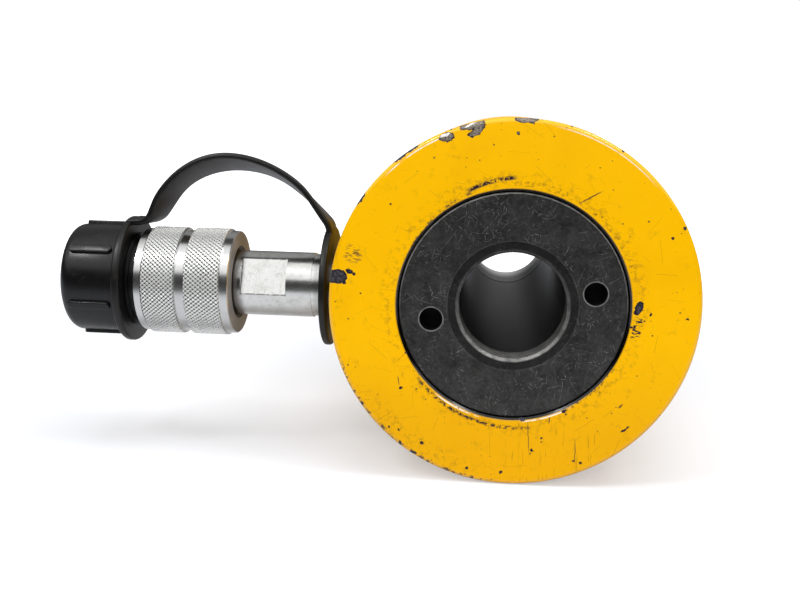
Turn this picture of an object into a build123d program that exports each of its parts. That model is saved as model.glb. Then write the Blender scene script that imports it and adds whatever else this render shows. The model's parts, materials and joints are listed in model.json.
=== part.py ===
from build123d import *
import math
import os

# Hollow plunger cylinder with spring return, lying on its side as it is photographed.
# Y is the cylinder axis, from the base face at Y = 0 to the plunger end.
# The hose coupling points along -X and +Z is up. The origin is the centre of the base face.
# All sizes are in millimetres.

# Walls and rooms outwards from the hole through the middle
through_bore_diameter = 33.3
tube_wall = 5.575
plunger_wall = 9.525
spring_room = 12.7
barrel_wall = 12.7

# Cylinder body
body_length = 169.0
base_thickness = 22.0
base_edge_radius = 1.3
opening_step = 9.0
opening_chamfer = 0.8
insert_seat_depth = 14.0
insert_seat_width = 2.4
collar_thread_length = 42.0
collar_relief_width = 3.0
collar_relief_depth = 2.5
collar_chamfer = 1.5
collar_crest_drop = 1.15
collar_thread_pitch = 2.1
collar_thread_depth = 1.2
collar_crest_width = 0.6
gland_pocket_depth = 22.0
gland_pocket_step = 1.6

# Clearances
sliding_clearance = 0.10
running_clearance = 0.30
thread_clearance = 0.12
groove_clearance = 0.08
insert_gap = 0.35
cut_overrun = 1.0

# Base insert and centre tube
insert_recess = 0.5
insert_edge_chamfer = 0.5
bore_chamfer = 0.75
face_relief_width = 3.55
face_relief_depth = 0.3
pin_hole_diameter = 7.1
pin_hole_offset = 8.85
pin_hole_depth = 8.0
pin_hole_angle = 11.0
tube_seat_depth = 10.0
tube_end_gap = 1.5
insert_ring_section = 2.3
tube_ring_section = 2.2
tube_ring_inset = 3.5
ring_groove_share = 1.4

# Plunger with its piston head
plunger_end_recess = 0.4
piston_rest_gap = 0.3
nose_step = 6.5
nose_length = 8.7
piston_length = 22.0
piston_land = 3.0
piston_fillet = 2.0
seal_width = 4.6
seal_depth = 4.0
seal_lip_share = 0.25
seal_channel_share = 0.55
backup_width = 1.8
bearing_width = 6.0
bearing_thickness = 2.2

# Gland nut and what it holds
gland_recess = 0.8
rod_bearing_width = 8.0
rod_bearing_inset = 4.0
wiper_width = 4.4
wiper_depth = 3.8
wiper_inset = 2.4
wiper_lip_height = 1.5
wiper_heel_step = 1.3
gland_hole_diameter = 6.0
gland_hole_depth = 7.0
gland_hole_count = 4
gland_hole_angle = 45.0
gland_edge_chamfer = 0.6

# Saddle
saddle_thickness = 9.4
saddle_stem_step = 0.475
saddle_stem_length = 20.0
saddle_groove_count = 3
saddle_groove_width = 1.6
saddle_groove_depth = 0.9
saddle_edge_chamfer = 1.0

# Return spring
spring_wire_height = 6.4
spring_wire_width = 6.0
spring_turns = 4.5

# Port and coupler body, with distances measured outwards from the cylinder axis
port_height = 26.5
port_thread_diameter = 17.1
port_thread_end_gap = 0.8
port_wall = 1.7
port_passage_diameter = 6.0
coupler_standoff = 4.75
coupler_collar_diameter = 20.8
coupler_collar_length = 3.1
coupler_diameter = 21.7
coupler_barrel_length = 36.0
coupler_relief_width = 0.6
coupler_relief_depth = 0.5
fitting_chamfer = 0.75
flat_size = 18.0
flat_length = 15.1
flat_start = 8.9
flat_angle = 23.0
shoulder_diameter = 28.4
shoulder_length = 5.0
oil_bore_diameter = 7.0
valve_chamber_diameter = 13.2
valve_chamber_depth = 17.0

# Coupler socket, the front valve housing
socket_diameter = 22.0
socket_length = 17.0
socket_mouth_diameter = 15.0
socket_mouth_depth = 10.0
socket_spigot_diameter = 18.0
socket_spigot_length = 5.0
seat_wall = 3.0
seat_orifice_diameter = 8.4
socket_ring_section = 1.7
socket_ring_inset = 5.0

# Coupler sleeve
sleeve_length = 31.7
sleeve_diameter = 36.0
sleeve_end_diameter = 34.6
sleeve_rear_band = 2.7
sleeve_rear_knurl = 12.3
sleeve_groove_width = 2.7
sleeve_groove_depth = 1.0
sleeve_front_band = 2.5
sleeve_lip = 4.2
sleeve_lip_chamfer = 0.9
sleeve_thread_diameter = 30.0
sleeve_edge_chamfer = 0.35
retainer_width = 1.5
retainer_grip = 0.6
retainer_depth = 2.6

# Valve inside the coupler
poppet_travel = 4.5
poppet_head_diameter = 11.2
poppet_head_length = 3.0
poppet_stem_diameter = 4.0
poppet_nose_diameter = 6.4
poppet_seal_width = 0.85
guide_thickness = 2.5
guide_slot_count = 3
guide_slot_width = 2.0
poppet_spring_wire = 1.0
poppet_spring_turns = 5.0

# Dust cap
cap_diameter = 36.2
cap_length = 18.8
cap_edge_radius = 3.5
cap_wall = 2.6
cap_stand = 6.1
cap_skirt_length = 10.2
cap_skirt_wall = 3.2
cap_bead_height = 0.9
cap_bead_width = 1.0
rib_count = 6
rib_length = 14.2
rib_width = 2.4
rib_height = 1.1
rib_inset = 1.5
rib_root_depth = 6.0
rib_corner_radius = 1.15
rib_edge_radius = 0.5
rib_angle = 39.0

# Cap strap with its two rings
strap_width = 14.0
strap_thickness = 2.0
cap_ring_diameter = 42.4
cap_ring_width = 2.5
cap_ring_edge_radius = 0.8
nipple_ring_diameter = 40.0
nipple_ring_width = 2.4
nipple_ring_edge_radius = 0.7
strap_root_straight = 1.8
strap_root_radius = 5.0
strap_rise_angle = 60.0
strap_crown_radius = 27.0
strap_fall_radius = 36.0
strap_fall_angle = 48.0
strap_landing_radius = 8.0
strap_landing_depth = 2.0

# Radii worked out from the hole outwards
through_radius = through_bore_diameter / 2
tube_radius = through_radius + tube_wall
plunger_radius = tube_radius + plunger_wall
bore_radius = plunger_radius + spring_room
body_radius = bore_radius + barrel_wall
opening_radius = bore_radius - opening_step
face_relief_radius = through_radius + face_relief_width
pin_hole_circle = 2 * (through_radius + pin_hole_offset)
plunger_bore_radius = tube_radius + running_clearance
saddle_stem_radius = plunger_bore_radius + saddle_stem_step
piston_radius = bore_radius - running_clearance
spigot_bore_radius = opening_radius - insert_seat_width
gland_pocket_radius = bore_radius + gland_pocket_step
gland_radius = gland_pocket_radius - thread_clearance
wiper_groove_radius = plunger_radius + wiper_depth
gland_hole_circle = wiper_groove_radius + gland_radius

# Stations along the cylinder axis
piston_start = base_thickness + piston_rest_gap
head_start = piston_start + nose_length
head_end = head_start + piston_length
plunger_end = body_length - plunger_end_recess
gland_start = body_length - gland_pocket_depth
gland_end = body_length - gland_recess
stem_start = plunger_end - saddle_stem_length
tube_end = stem_start - tube_end_gap

# Grooves in the piston head, the same inside and outside
seal_groove_start = head_start + piston_land
seal_groove_width = seal_width + backup_width + 3 * groove_clearance
bearing_groove_start = seal_groove_start + seal_groove_width + piston_land
bearing_groove_width = bearing_width + 2 * groove_clearance

# Stations along the coupler axis, outwards from the cylinder axis
port_hole_end = bore_radius + port_wall
thread_tip = port_hole_end + port_thread_end_gap
coupler_start = body_radius + coupler_standoff
barrel_start = coupler_start + coupler_collar_length
shoulder_start = barrel_start + coupler_barrel_length - shoulder_length
shoulder_end = shoulder_start + shoulder_length
chamber_start = shoulder_end - valve_chamber_depth
spigot_start = shoulder_end - socket_spigot_length
socket_end = shoulder_end + socket_length
seat_outer = socket_end - socket_mouth_depth
seat_inner = seat_outer - seat_wall
sleeve_start = shoulder_start - running_clearance - sleeve_lip
sleeve_end = sleeve_start + sleeve_length
cap_start = sleeve_end + cap_stand
cap_end = cap_start + cap_length
skirt_end = sleeve_end - cap_skirt_length
poppet_back = seat_inner - groove_clearance * 2 - poppet_seal_width - poppet_head_length
poppet_tip = seat_outer + poppet_travel

# Radii of the coupler
coupler_radius = coupler_diameter / 2
chamber_radius = valve_chamber_diameter / 2
sleeve_radius = sleeve_diameter / 2
sleeve_thread_radius = sleeve_thread_diameter / 2
sleeve_shoulder_bore = shoulder_diameter / 2 + running_clearance
cap_radius = cap_diameter / 2
skirt_radius = sleeve_thread_radius - running_clearance
port_axis = Axis((0, port_height, 0), (-1, 0, 0))


def turned(outline):
    """Solid turned about the cylinder axis from corners of (distance along Y, radius)."""
    corners = [(radius, along) for along, radius in outline]
    return revolve(make_face(Polyline(*corners, close=True)), Axis.Y)


def turned_on_port(outline):
    """Solid turned about the coupler axis from corners of (distance outwards, radius)."""
    corners = [(-out, port_height + radius) for out, radius in outline]
    return revolve(make_face(Polyline(*corners, close=True)), port_axis)


def collar(start, end, inner, outer):
    """Plain ring about the cylinder axis."""
    return turned([(start, inner), (start, outer), (end, outer), (end, inner)])


def port_collar(start, end, inner, outer):
    """Plain ring about the coupler axis."""
    return turned_on_port([(start, inner), (start, outer), (end, outer), (end, inner)])


def port_rod(start, end, radius):
    """Plain round bar on the coupler axis."""
    return port_collar(start, end, 0, radius)


def round_edges(shape, axis_point, radius):
    """Circular edges of a shape that have this centre and radius."""
    found = []
    for edge in shape.edges().filter_by(GeomType.CIRCLE):
        if abs(edge.radius - radius) < 0.01 and (edge.arc_center - Vector(*axis_point)).length < 0.01:
            found.append(edge)
    return found


def on_port(out, height=0.0, across=0.0):
    """Point at a distance outwards, a height and a distance along Y from the coupler axis."""
    return (-out, port_height + across, height)


def o_ring(along, middle_radius, section):
    """Round seal ring about the cylinder axis."""
    return Pos(0, along, 0) * Rot(X=90) * Torus(middle_radius, section / 2)


def hole_places(circle, count, angle):
    """Places of holes on a circle about the cylinder axis, as (x, z)."""
    places = []
    for index in range(count):
        turn = math.radians(angle + 360 * index / count)
        places.append((circle / 2 * math.cos(turn), circle / 2 * math.sin(turn)))
    return places


def drilled_along_y(diameter, start, end, places):
    """Round bars along Y that cut a ring of holes."""
    bars = []
    for x, z in places:
        bars.append(Pos(x, (start + end) / 2, z) * Rot(X=90) * Cylinder(diameter / 2, end - start))
    return bars


def thread_grooves(start, end, crest_radius):
    """Corners of the collar thread between two stations, drawn as closed V grooves."""
    count = int((end - start) / collar_thread_pitch)
    half_width = (collar_thread_pitch - collar_crest_width) / 2
    first = (start + end - (count - 1) * collar_thread_pitch) / 2
    corners = []
    for index in range(count):
        middle = first + index * collar_thread_pitch
        corners.append((middle - half_width, crest_radius))
        corners.append((middle, crest_radius - collar_thread_depth))
        corners.append((middle + half_width, crest_radius))
    return corners


def cylinder_body():
    """Barrel with its base wall, port, threaded collar and gland pocket."""
    collar_start = body_length - collar_thread_length
    relief_radius = body_radius - collar_relief_depth
    crest_radius = body_radius - collar_crest_drop
    body = turned([
        (0, opening_radius + opening_chamfer),
        (0, body_radius),
        (collar_start - collar_relief_width, body_radius),
        (collar_start - collar_relief_width, relief_radius),
        (collar_start, relief_radius),
        (collar_start, crest_radius),
        *thread_grooves(collar_start, body_length - collar_chamfer, crest_radius),
        (body_length - collar_chamfer, crest_radius),
        (body_length, crest_radius - collar_chamfer),
        (body_length, gland_pocket_radius),
        (gland_start, gland_pocket_radius),
        (gland_start, bore_radius),
        (base_thickness, bore_radius),
        (base_thickness, spigot_bore_radius),
        (insert_seat_depth, spigot_bore_radius),
        (insert_seat_depth, opening_radius),
        (opening_chamfer, opening_radius),
    ])
    body = fillet(round_edges(body, (0, 0, 0), body_radius), base_edge_radius)
    thread_hole_radius = port_thread_diameter / 2 + thread_clearance
    thread_hole = port_rod(port_hole_end, body_radius + cut_overrun, thread_hole_radius)
    passage = port_rod(bore_radius - cut_overrun, port_hole_end, port_passage_diameter / 2)
    return body - thread_hole - passage


def base_insert():
    """Threaded plug of the base, with pin holes outside and the tube seat inside."""
    thread_radius = opening_radius - insert_gap
    spigot_radius = spigot_bore_radius - groove_clearance
    tube_seat_radius = tube_radius + groove_clearance
    ring_groove = spigot_radius - insert_ring_section
    ring_middle = (insert_seat_depth + base_thickness) / 2
    ring_half = insert_ring_section * ring_groove_share / 2
    tube_ring_middle = base_thickness - tube_ring_inset
    tube_ring_half = tube_ring_section * ring_groove_share / 2
    tube_groove = tube_seat_radius + tube_ring_section
    insert = turned([
        (insert_recess + face_relief_depth, through_radius + bore_chamfer),
        (insert_recess + face_relief_depth, face_relief_radius),
        (insert_recess, face_relief_radius),
        (insert_recess, thread_radius - insert_edge_chamfer),
        (insert_recess + insert_edge_chamfer, thread_radius),
        (insert_seat_depth, thread_radius),
        (insert_seat_depth, spigot_radius),
        (ring_middle - ring_half, spigot_radius),
        (ring_middle - ring_half, ring_groove),
        (ring_middle + ring_half, ring_groove),
        (ring_middle + ring_half, spigot_radius),
        (base_thickness, spigot_radius),
        (base_thickness, tube_seat_radius),
        (tube_ring_middle + tube_ring_half, tube_seat_radius),
        (tube_ring_middle + tube_ring_half, tube_groove),
        (tube_ring_middle - tube_ring_half, tube_groove),
        (tube_ring_middle - tube_ring_half, tube_seat_radius),
        (tube_seat_depth, tube_seat_radius),
        (tube_seat_depth, through_radius),
        (insert_recess + face_relief_depth + bore_chamfer, through_radius),
    ])
    holes = drilled_along_y(pin_hole_diameter, insert_recess - cut_overrun, insert_recess + pin_hole_depth,
                            hole_places(pin_hole_circle, 2, pin_hole_angle))
    return insert - holes


def insert_o_ring():
    """Seal between the insert and the barrel."""
    middle = spigot_bore_radius - groove_clearance - insert_ring_section / 2
    return o_ring((insert_seat_depth + base_thickness) / 2, middle, insert_ring_section - groove_clearance)


def centre_tube():
    """Fixed tube that lines the hole through the cylinder."""
    return collar(tube_seat_depth, tube_end, through_radius, tube_radius)


def tube_o_ring():
    """Seal between the insert and the centre tube."""
    middle = tube_radius + groove_clearance + tube_ring_section / 2
    return o_ring(base_thickness - tube_ring_inset, middle, tube_ring_section - groove_clearance)


def plunger():
    """Hollow plunger with its piston head, seal grooves and saddle thread."""
    nose_radius = bore_radius - nose_step
    seal_end = seal_groove_start + seal_groove_width
    bearing_end = bearing_groove_start + bearing_groove_width
    outer_seal = bore_radius - seal_depth
    outer_bearing = bore_radius - bearing_thickness
    inner_seal = tube_radius + seal_depth
    inner_bearing = tube_radius + bearing_thickness
    saddle_thread = saddle_stem_radius + thread_clearance
    shape = turned([
        (piston_start, plunger_bore_radius),
        (piston_start, nose_radius),
        (head_start, nose_radius),
        (head_start, piston_radius),
        (seal_groove_start, piston_radius),
        (seal_groove_start, outer_seal),
        (seal_end, outer_seal),
        (seal_end, piston_radius),
        (bearing_groove_start, piston_radius),
        (bearing_groove_start, outer_bearing),
        (bearing_end, outer_bearing),
        (bearing_end, piston_radius),
        (head_end, piston_radius),
        (head_end, plunger_radius),
        (plunger_end, plunger_radius),
        (plunger_end, saddle_thread),
        (stem_start - tube_end_gap / 2, saddle_thread),
        (stem_start - tube_end_gap / 2, plunger_bore_radius),
        (bearing_end, plunger_bore_radius),
        (bearing_end, inner_bearing),
        (bearing_groove_start, inner_bearing),
        (bearing_groove_start, plunger_bore_radius),
        (seal_end, plunger_bore_radius),
        (seal_end, inner_seal),
        (seal_groove_start, inner_seal),
        (seal_groove_start, plunger_bore_radius),
    ])
    return fillet(round_edges(shape, (0, head_end, 0), plunger_radius), piston_fillet)


def lip_seal(inner, outer):
    """Two-lipped seal ring in the first groove, its channel open towards the oil."""
    start = seal_groove_start + groove_clearance
    end = start + seal_width
    middle = (inner + outer) / 2
    mouth = (outer - inner) * seal_lip_share
    return turned([
        (start, inner),
        (start, middle - mouth),
        (start + seal_width * seal_channel_share, middle),
        (start, middle + mouth),
        (start, outer),
        (end, outer),
        (end, inner),
    ])


def backup_ring(inner, outer):
    """Stiff ring behind a lip seal."""
    start = seal_groove_start + seal_width + 2 * groove_clearance
    return collar(start, start + backup_width, inner, outer)


def head_bearing(inner, outer):
    """Guide ring in the second groove of the piston head."""
    start = bearing_groove_start + groove_clearance
    return collar(start, start + bearing_width, inner, outer)


def return_spring():
    """Coil spring round the plunger, between the piston head and the gland nut."""
    coil_radius = (bore_radius + plunger_radius) / 2
    first = head_end + running_clearance + spring_wire_height / 2
    last = gland_start - running_clearance - spring_wire_height / 2
    rise = last - first
    path = Helix(pitch=rise / spring_turns, height=rise, radius=coil_radius,
                 center=(0, first, 0), direction=(0, 1, 0))
    section = Plane(origin=path @ 0, x_dir=(0, 1, 0), z_dir=path % 0)
    return sweep(section * Rectangle(spring_wire_height, spring_wire_width), path, is_frenet=True)


def gland_nut():
    """Threaded stop ring that closes the plunger end and guides the plunger."""
    inner = plunger_radius + running_clearance
    bearing_start = gland_start + rod_bearing_inset
    bearing_end = bearing_start + rod_bearing_width + 2 * groove_clearance
    bearing_radius = plunger_radius + bearing_thickness
    wiper_end = gland_end - wiper_inset
    wiper_start = wiper_end - wiper_width - 2 * groove_clearance
    nut = turned([
        (gland_start, inner),
        (gland_start, gland_radius),
        (gland_end - gland_edge_chamfer, gland_radius),
        (gland_end, gland_radius - gland_edge_chamfer),
        (gland_end, inner + gland_edge_chamfer),
        (gland_end - gland_edge_chamfer, inner),
        (wiper_end, inner),
        (wiper_end, wiper_groove_radius),
        (wiper_start, wiper_groove_radius),
        (wiper_start, inner),
        (bearing_end, inner),
        (bearing_end, bearing_radius),
        (bearing_start, bearing_radius),
        (bearing_start, inner),
    ])
    places = hole_places(gland_hole_circle, gland_hole_count, gland_hole_angle)
    return nut - drilled_along_y(gland_hole_diameter, gland_end - gland_hole_depth, gland_end + cut_overrun,
                                 places)


def rod_bearing():
    """Guide ring of the gland nut."""
    start = gland_start + rod_bearing_inset + groove_clearance
    return collar(start, start + rod_bearing_width, plunger_radius + sliding_clearance,
                  plunger_radius + bearing_thickness - groove_clearance)


def rod_wiper():
    """Wiper ring of the gland nut, with a lip that leans on the plunger."""
    end = gland_end - wiper_inset - groove_clearance
    start = end - wiper_width
    outer = wiper_groove_radius - groove_clearance
    inner = plunger_radius + sliding_clearance
    heel = inner + wiper_heel_step
    return turned([
        (start, heel),
        (start, outer),
        (end, outer),
        (end, inner),
        (end - wiper_lip_height, inner),
    ])


def saddle():
    """Load cap that screws into the plunger, grooved on its face."""
    face = plunger_end + saddle_thickness
    outline = [
        (stem_start, through_radius),
        (stem_start, saddle_stem_radius - saddle_edge_chamfer),
        (stem_start + saddle_edge_chamfer, saddle_stem_radius),
        (plunger_end, saddle_stem_radius),
        (plunger_end, plunger_radius),
        (face - saddle_edge_chamfer, plunger_radius),
        (face, plunger_radius - saddle_edge_chamfer),
        (face, through_radius + bore_chamfer),
        (face - bore_chamfer, through_radius),
    ]
    shape = turned(outline)
    band = plunger_radius - saddle_edge_chamfer - through_radius - bore_chamfer
    for index in range(saddle_groove_count):
        middle = through_radius + bore_chamfer + band * (index + 1) / (saddle_groove_count + 1)
        shape -= turned([
            (face + saddle_groove_depth, middle - saddle_groove_width),
            (face + saddle_groove_depth, middle + saddle_groove_width),
            (face - saddle_groove_depth, middle),
        ])
    return shape


def coupler_body():
    """Nipple that screws into the port, with two spanner flats and the valve chamber."""
    collar_radius = coupler_collar_diameter / 2
    relief_radius = coupler_radius - coupler_relief_depth
    spigot_radius = socket_spigot_diameter / 2 + thread_clearance
    oil_radius = oil_bore_diameter / 2
    thread_radius = port_thread_diameter / 2
    nipple = turned_on_port([
        (thread_tip, oil_radius),
        (thread_tip, thread_radius - fitting_chamfer),
        (thread_tip + fitting_chamfer, thread_radius),
        (coupler_start, thread_radius),
        (coupler_start, collar_radius - fitting_chamfer),
        (coupler_start + fitting_chamfer, collar_radius),
        (barrel_start, collar_radius),
        (barrel_start, relief_radius),
        (barrel_start + coupler_relief_width, relief_radius),
        (barrel_start + coupler_relief_width, coupler_radius),
        (shoulder_start, coupler_radius),
        (shoulder_start, shoulder_diameter / 2),
        (shoulder_end, shoulder_diameter / 2),
        (shoulder_end, spigot_radius),
        (spigot_start, spigot_radius),
        (spigot_start, chamber_radius),
        (chamber_start, chamber_radius),
        (chamber_start, oil_radius),
    ])
    flat_middle = barrel_start + flat_start + flat_length / 2
    cutter = Box(flat_length, coupler_diameter, coupler_diameter)
    for side in (1, -1):
        lift = side * (flat_size / 2 + coupler_diameter / 2)
        nipple -= Pos(*on_port(flat_middle)) * Rot(X=-flat_angle) * Pos(0, lift, 0) * cutter
    return nipple


def coupler_socket():
    """Front valve housing, with the mouth for the hose half and the valve seat."""
    mouth_radius = socket_mouth_diameter / 2
    outer = socket_diameter / 2
    ring_start = socket_end - socket_ring_inset
    ring_end = ring_start + socket_ring_section * ring_groove_share
    ring_radius = mouth_radius + socket_ring_section
    return turned_on_port([
        (spigot_start, chamber_radius),
        (spigot_start, socket_spigot_diameter / 2),
        (shoulder_end, socket_spigot_diameter / 2),
        (shoulder_end, outer),
        (socket_end - fitting_chamfer, outer),
        (socket_end, outer - fitting_chamfer),
        (socket_end, mouth_radius + fitting_chamfer),
        (socket_end - fitting_chamfer, mouth_radius),
        (ring_end, mouth_radius),
        (ring_end, ring_radius),
        (ring_start, ring_radius),
        (ring_start, mouth_radius),
        (seat_outer, mouth_radius),
        (seat_outer, seat_orifice_diameter / 2),
        (seat_inner, seat_orifice_diameter / 2),
        (seat_inner, chamber_radius),
    ])


def socket_o_ring():
    """Seal in the mouth of the socket."""
    middle = socket_mouth_diameter / 2 + socket_ring_section / 2
    place = socket_end - socket_ring_inset + socket_ring_section * ring_groove_share / 2
    return Pos(*on_port(place)) * Rot(Y=90) * Torus(middle, socket_ring_section / 2 - groove_clearance / 2)


def coupler_sleeve():
    """Union sleeve that turns on the coupler body, with two bands for the fingers."""
    end_radius = sleeve_end_diameter / 2
    groove_radius = sleeve_radius - sleeve_groove_depth
    rear_band = sleeve_start + sleeve_rear_band
    groove_start = rear_band + sleeve_rear_knurl
    groove_end = groove_start + sleeve_groove_width
    front_band = sleeve_end - sleeve_front_band
    lip_radius = coupler_radius + running_clearance
    lip_end = sleeve_start + sleeve_lip
    retainer_start = shoulder_end + running_clearance
    retainer_end = retainer_start + retainer_width + 2 * groove_clearance
    retainer_radius = sleeve_shoulder_bore + retainer_grip
    return turned_on_port([
        (sleeve_start, lip_radius + sleeve_lip_chamfer),
        (sleeve_start, end_radius - sleeve_edge_chamfer),
        (sleeve_start + sleeve_edge_chamfer, end_radius),
        (rear_band, end_radius),
        (rear_band + sleeve_edge_chamfer, sleeve_radius),
        (groove_start - sleeve_edge_chamfer, sleeve_radius),
        (groove_start, groove_radius),
        (groove_end, groove_radius),
        (groove_end + sleeve_edge_chamfer, sleeve_radius),
        (front_band - sleeve_edge_chamfer, sleeve_radius),
        (front_band, end_radius),
        (sleeve_end - sleeve_edge_chamfer, end_radius),
        (sleeve_end, end_radius - sleeve_edge_chamfer),
        (sleeve_end, sleeve_thread_radius + sleeve_edge_chamfer),
        (sleeve_end - sleeve_edge_chamfer, sleeve_thread_radius),
        (retainer_end + retainer_width, sleeve_thread_radius),
        (retainer_end + retainer_width, sleeve_shoulder_bore),
        (retainer_end, sleeve_shoulder_bore),
        (retainer_end, retainer_radius),
        (retainer_start, retainer_radius),
        (retainer_start, sleeve_shoulder_bore),
        (lip_end, sleeve_shoulder_bore),
        (lip_end, lip_radius),
        (sleeve_start + sleeve_lip_chamfer, lip_radius),
    ])


def sleeve_retainer():
    """Split ring in the sleeve that keeps it on the shoulder of the coupler body."""
    start = shoulder_end + running_clearance + groove_clearance
    outer = sleeve_shoulder_bore + retainer_grip - groove_clearance
    ring = port_collar(start, start + retainer_width, outer - retainer_depth, outer)
    gap = Box(retainer_width * 3, outer, retainer_depth)
    return ring - Pos(*on_port(start, across=outer)) * gap


def poppet():
    """Valve body with its guide stem behind and its push nose in front."""
    head_front = poppet_back + poppet_head_length
    stem_end = chamber_start + guide_thickness / 2
    return turned_on_port([
        (stem_end, 0),
        (stem_end, poppet_stem_diameter / 2),
        (poppet_back, poppet_stem_diameter / 2),
        (poppet_back, poppet_head_diameter / 2),
        (head_front, poppet_head_diameter / 2),
        (head_front, poppet_nose_diameter / 2),
        (poppet_tip - fitting_chamfer, poppet_nose_diameter / 2),
        (poppet_tip, poppet_nose_diameter / 2 - fitting_chamfer),
        (poppet_tip, 0),
    ])


def poppet_seal():
    """Soft washer on the poppet that closes the seat."""
    start = poppet_back + poppet_head_length
    return port_collar(start, start + poppet_seal_width, poppet_nose_diameter / 2 + groove_clearance,
                       poppet_head_diameter / 2 - groove_clearance)


def poppet_guide():
    """Washer that guides the poppet stem and lets oil past through its slots."""
    washer = port_collar(chamber_start, chamber_start + guide_thickness,
                         poppet_stem_diameter / 2 + sliding_clearance, chamber_radius - groove_clearance)
    reach = (oil_bore_diameter / 2 + chamber_radius) / 2
    for index in range(guide_slot_count):
        slot = Pos(0, reach, 0) * Box(guide_thickness * 3, guide_slot_width, guide_slot_width)
        washer -= Pos(*on_port(chamber_start)) * Rot(X=360 * index / guide_slot_count) * slot
    return washer


def poppet_spring():
    """Coil spring that holds the poppet shut."""
    coil_radius = (poppet_stem_diameter / 2 + chamber_radius) / 2
    first = chamber_start + guide_thickness + groove_clearance + poppet_spring_wire / 2
    last = poppet_back - groove_clearance - poppet_spring_wire / 2
    rise = last - first
    path = Helix(pitch=rise / poppet_spring_turns, height=rise, radius=coil_radius,
                 center=on_port(first), direction=(-1, 0, 0))
    section = Plane(origin=path @ 0, z_dir=path % 0)
    return sweep(section * Circle(poppet_spring_wire / 2), path, is_frenet=True)


def cap_rib():
    """One finger rib of the dust cap, lying on top of it."""
    middle = cap_start + rib_inset + rib_length / 2
    bar = Box(rib_length, rib_width, rib_root_depth)
    bar = fillet(bar.edges().filter_by(Axis.Z), rib_corner_radius)
    bar = fillet(bar.faces().sort_by(Axis.Z)[-1].edges(), rib_edge_radius)
    return Pos(*on_port(middle, cap_radius + rib_height - rib_root_depth / 2)) * bar


def dust_cap():
    """Hollow cap that screws into the sleeve, with ribs for the fingers."""
    hollow_radius = skirt_radius - cap_skirt_wall
    bead_end = cap_start - groove_clearance * 2 - cap_ring_width - running_clearance
    bead_start = bead_end - cap_bead_width
    bead_radius = skirt_radius + cap_bead_height
    cap = turned_on_port([
        (skirt_end, hollow_radius),
        (skirt_end, skirt_radius),
        (bead_start, skirt_radius),
        (bead_start, bead_radius),
        (bead_end, bead_radius),
        (bead_end, skirt_radius),
        (cap_start, skirt_radius),
        (cap_start, cap_radius),
        (cap_end, cap_radius),
        (cap_end, 0),
        (cap_end - cap_wall, 0),
        (cap_end - cap_wall, hollow_radius),
    ])
    cap = fillet(round_edges(cap, on_port(cap_end), cap_radius), cap_edge_radius)
    rib = cap_rib()
    for index in range(rib_count):
        turn = 90 - rib_angle + 360 * index / rib_count
        cap += rib.rotate(Axis((0, port_height, 0), (1, 0, 0)), turn)
    return cap


def strap_path():
    """Middle line of the strap from the cap ring to the nipple ring, in the upright plane."""
    start = Vector(-(cap_start - groove_clearance * 2 - cap_ring_width / 2), port_height,
                   (cap_ring_diameter - strap_thickness) / 2 - cap_ring_edge_radius / 2)
    root = start + Vector(cap_ring_width / 2 + strap_root_straight, 0, 0)
    finish = Vector(-(coupler_start - running_clearance - nipple_ring_width / 2), port_height,
                    nipple_ring_diameter / 2 - strap_landing_depth)
    rise = math.radians(strap_rise_angle)
    fall = math.radians(strap_fall_angle)
    root_step = Vector(strap_root_radius * math.sin(rise), 0, strap_root_radius * (1 - math.cos(rise)))
    crown_step = Vector(strap_crown_radius * math.sin(rise), 0, strap_crown_radius * (1 - math.cos(rise)))
    fall_step = Vector(strap_fall_radius * math.sin(fall), 0, -strap_fall_radius * (1 - math.cos(fall)))
    landing_step = Vector(strap_landing_radius * (1 - math.sin(fall)), 0,
                          -strap_landing_radius * math.cos(fall))
    left = finish - root - root_step - crown_step - fall_step - landing_step
    cross = math.sin(rise + fall)
    rise_length = (left.X * math.sin(fall) + left.Z * math.cos(fall)) / cross
    fall_length = (left.X * math.sin(rise) - left.Z * math.cos(rise)) / cross
    upward = Vector(math.cos(rise), 0, math.sin(rise))
    downward = Vector(math.cos(fall), 0, -math.sin(fall))
    leg = root + root_step
    crown_start = leg + upward * rise_length
    crown = crown_start + crown_step
    fall_end = crown + fall_step
    landing = fall_end + downward * fall_length
    pieces = [
        Line(start, root),
        TangentArc(root, leg, tangent=(1, 0, 0)),
        Line(leg, crown_start),
        TangentArc(crown_start, crown, tangent=upward),
        TangentArc(crown, fall_end, tangent=(1, 0, 0)),
        Line(fall_end, landing),
        TangentArc(landing, finish, tangent=downward),
    ]
    return Wire([piece.edge() for piece in pieces])


def cap_strap():
    """Flexible strap with a ring round the cap neck and a ring round the nipple thread."""
    ring_end = cap_start - groove_clearance * 2
    ring_start = ring_end - cap_ring_width
    cap_ring = port_collar(ring_start, ring_end, skirt_radius + running_clearance, cap_ring_diameter / 2)
    cap_rims = [edge for place in (ring_start, ring_end)
                for edge in round_edges(cap_ring, on_port(place), cap_ring_diameter / 2)]
    cap_ring = fillet(cap_rims, cap_ring_edge_radius)
    near = coupler_start - running_clearance
    far = near - nipple_ring_width
    nipple_hole = port_thread_diameter / 2 + running_clearance
    nipple_ring = port_collar(far, near, nipple_hole, nipple_ring_diameter / 2)
    nipple_rims = [edge for place in (far, near)
                   for edge in round_edges(nipple_ring, on_port(place), nipple_ring_diameter / 2)]
    nipple_ring = fillet(nipple_rims, nipple_ring_edge_radius)
    path = strap_path()
    section = Plane(origin=path @ 0, x_dir=(0, 1, 0), z_dir=(1, 0, 0))
    band = sweep(section * Rectangle(strap_width, strap_thickness), path)
    return cap_ring + band + nipple_ring


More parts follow.
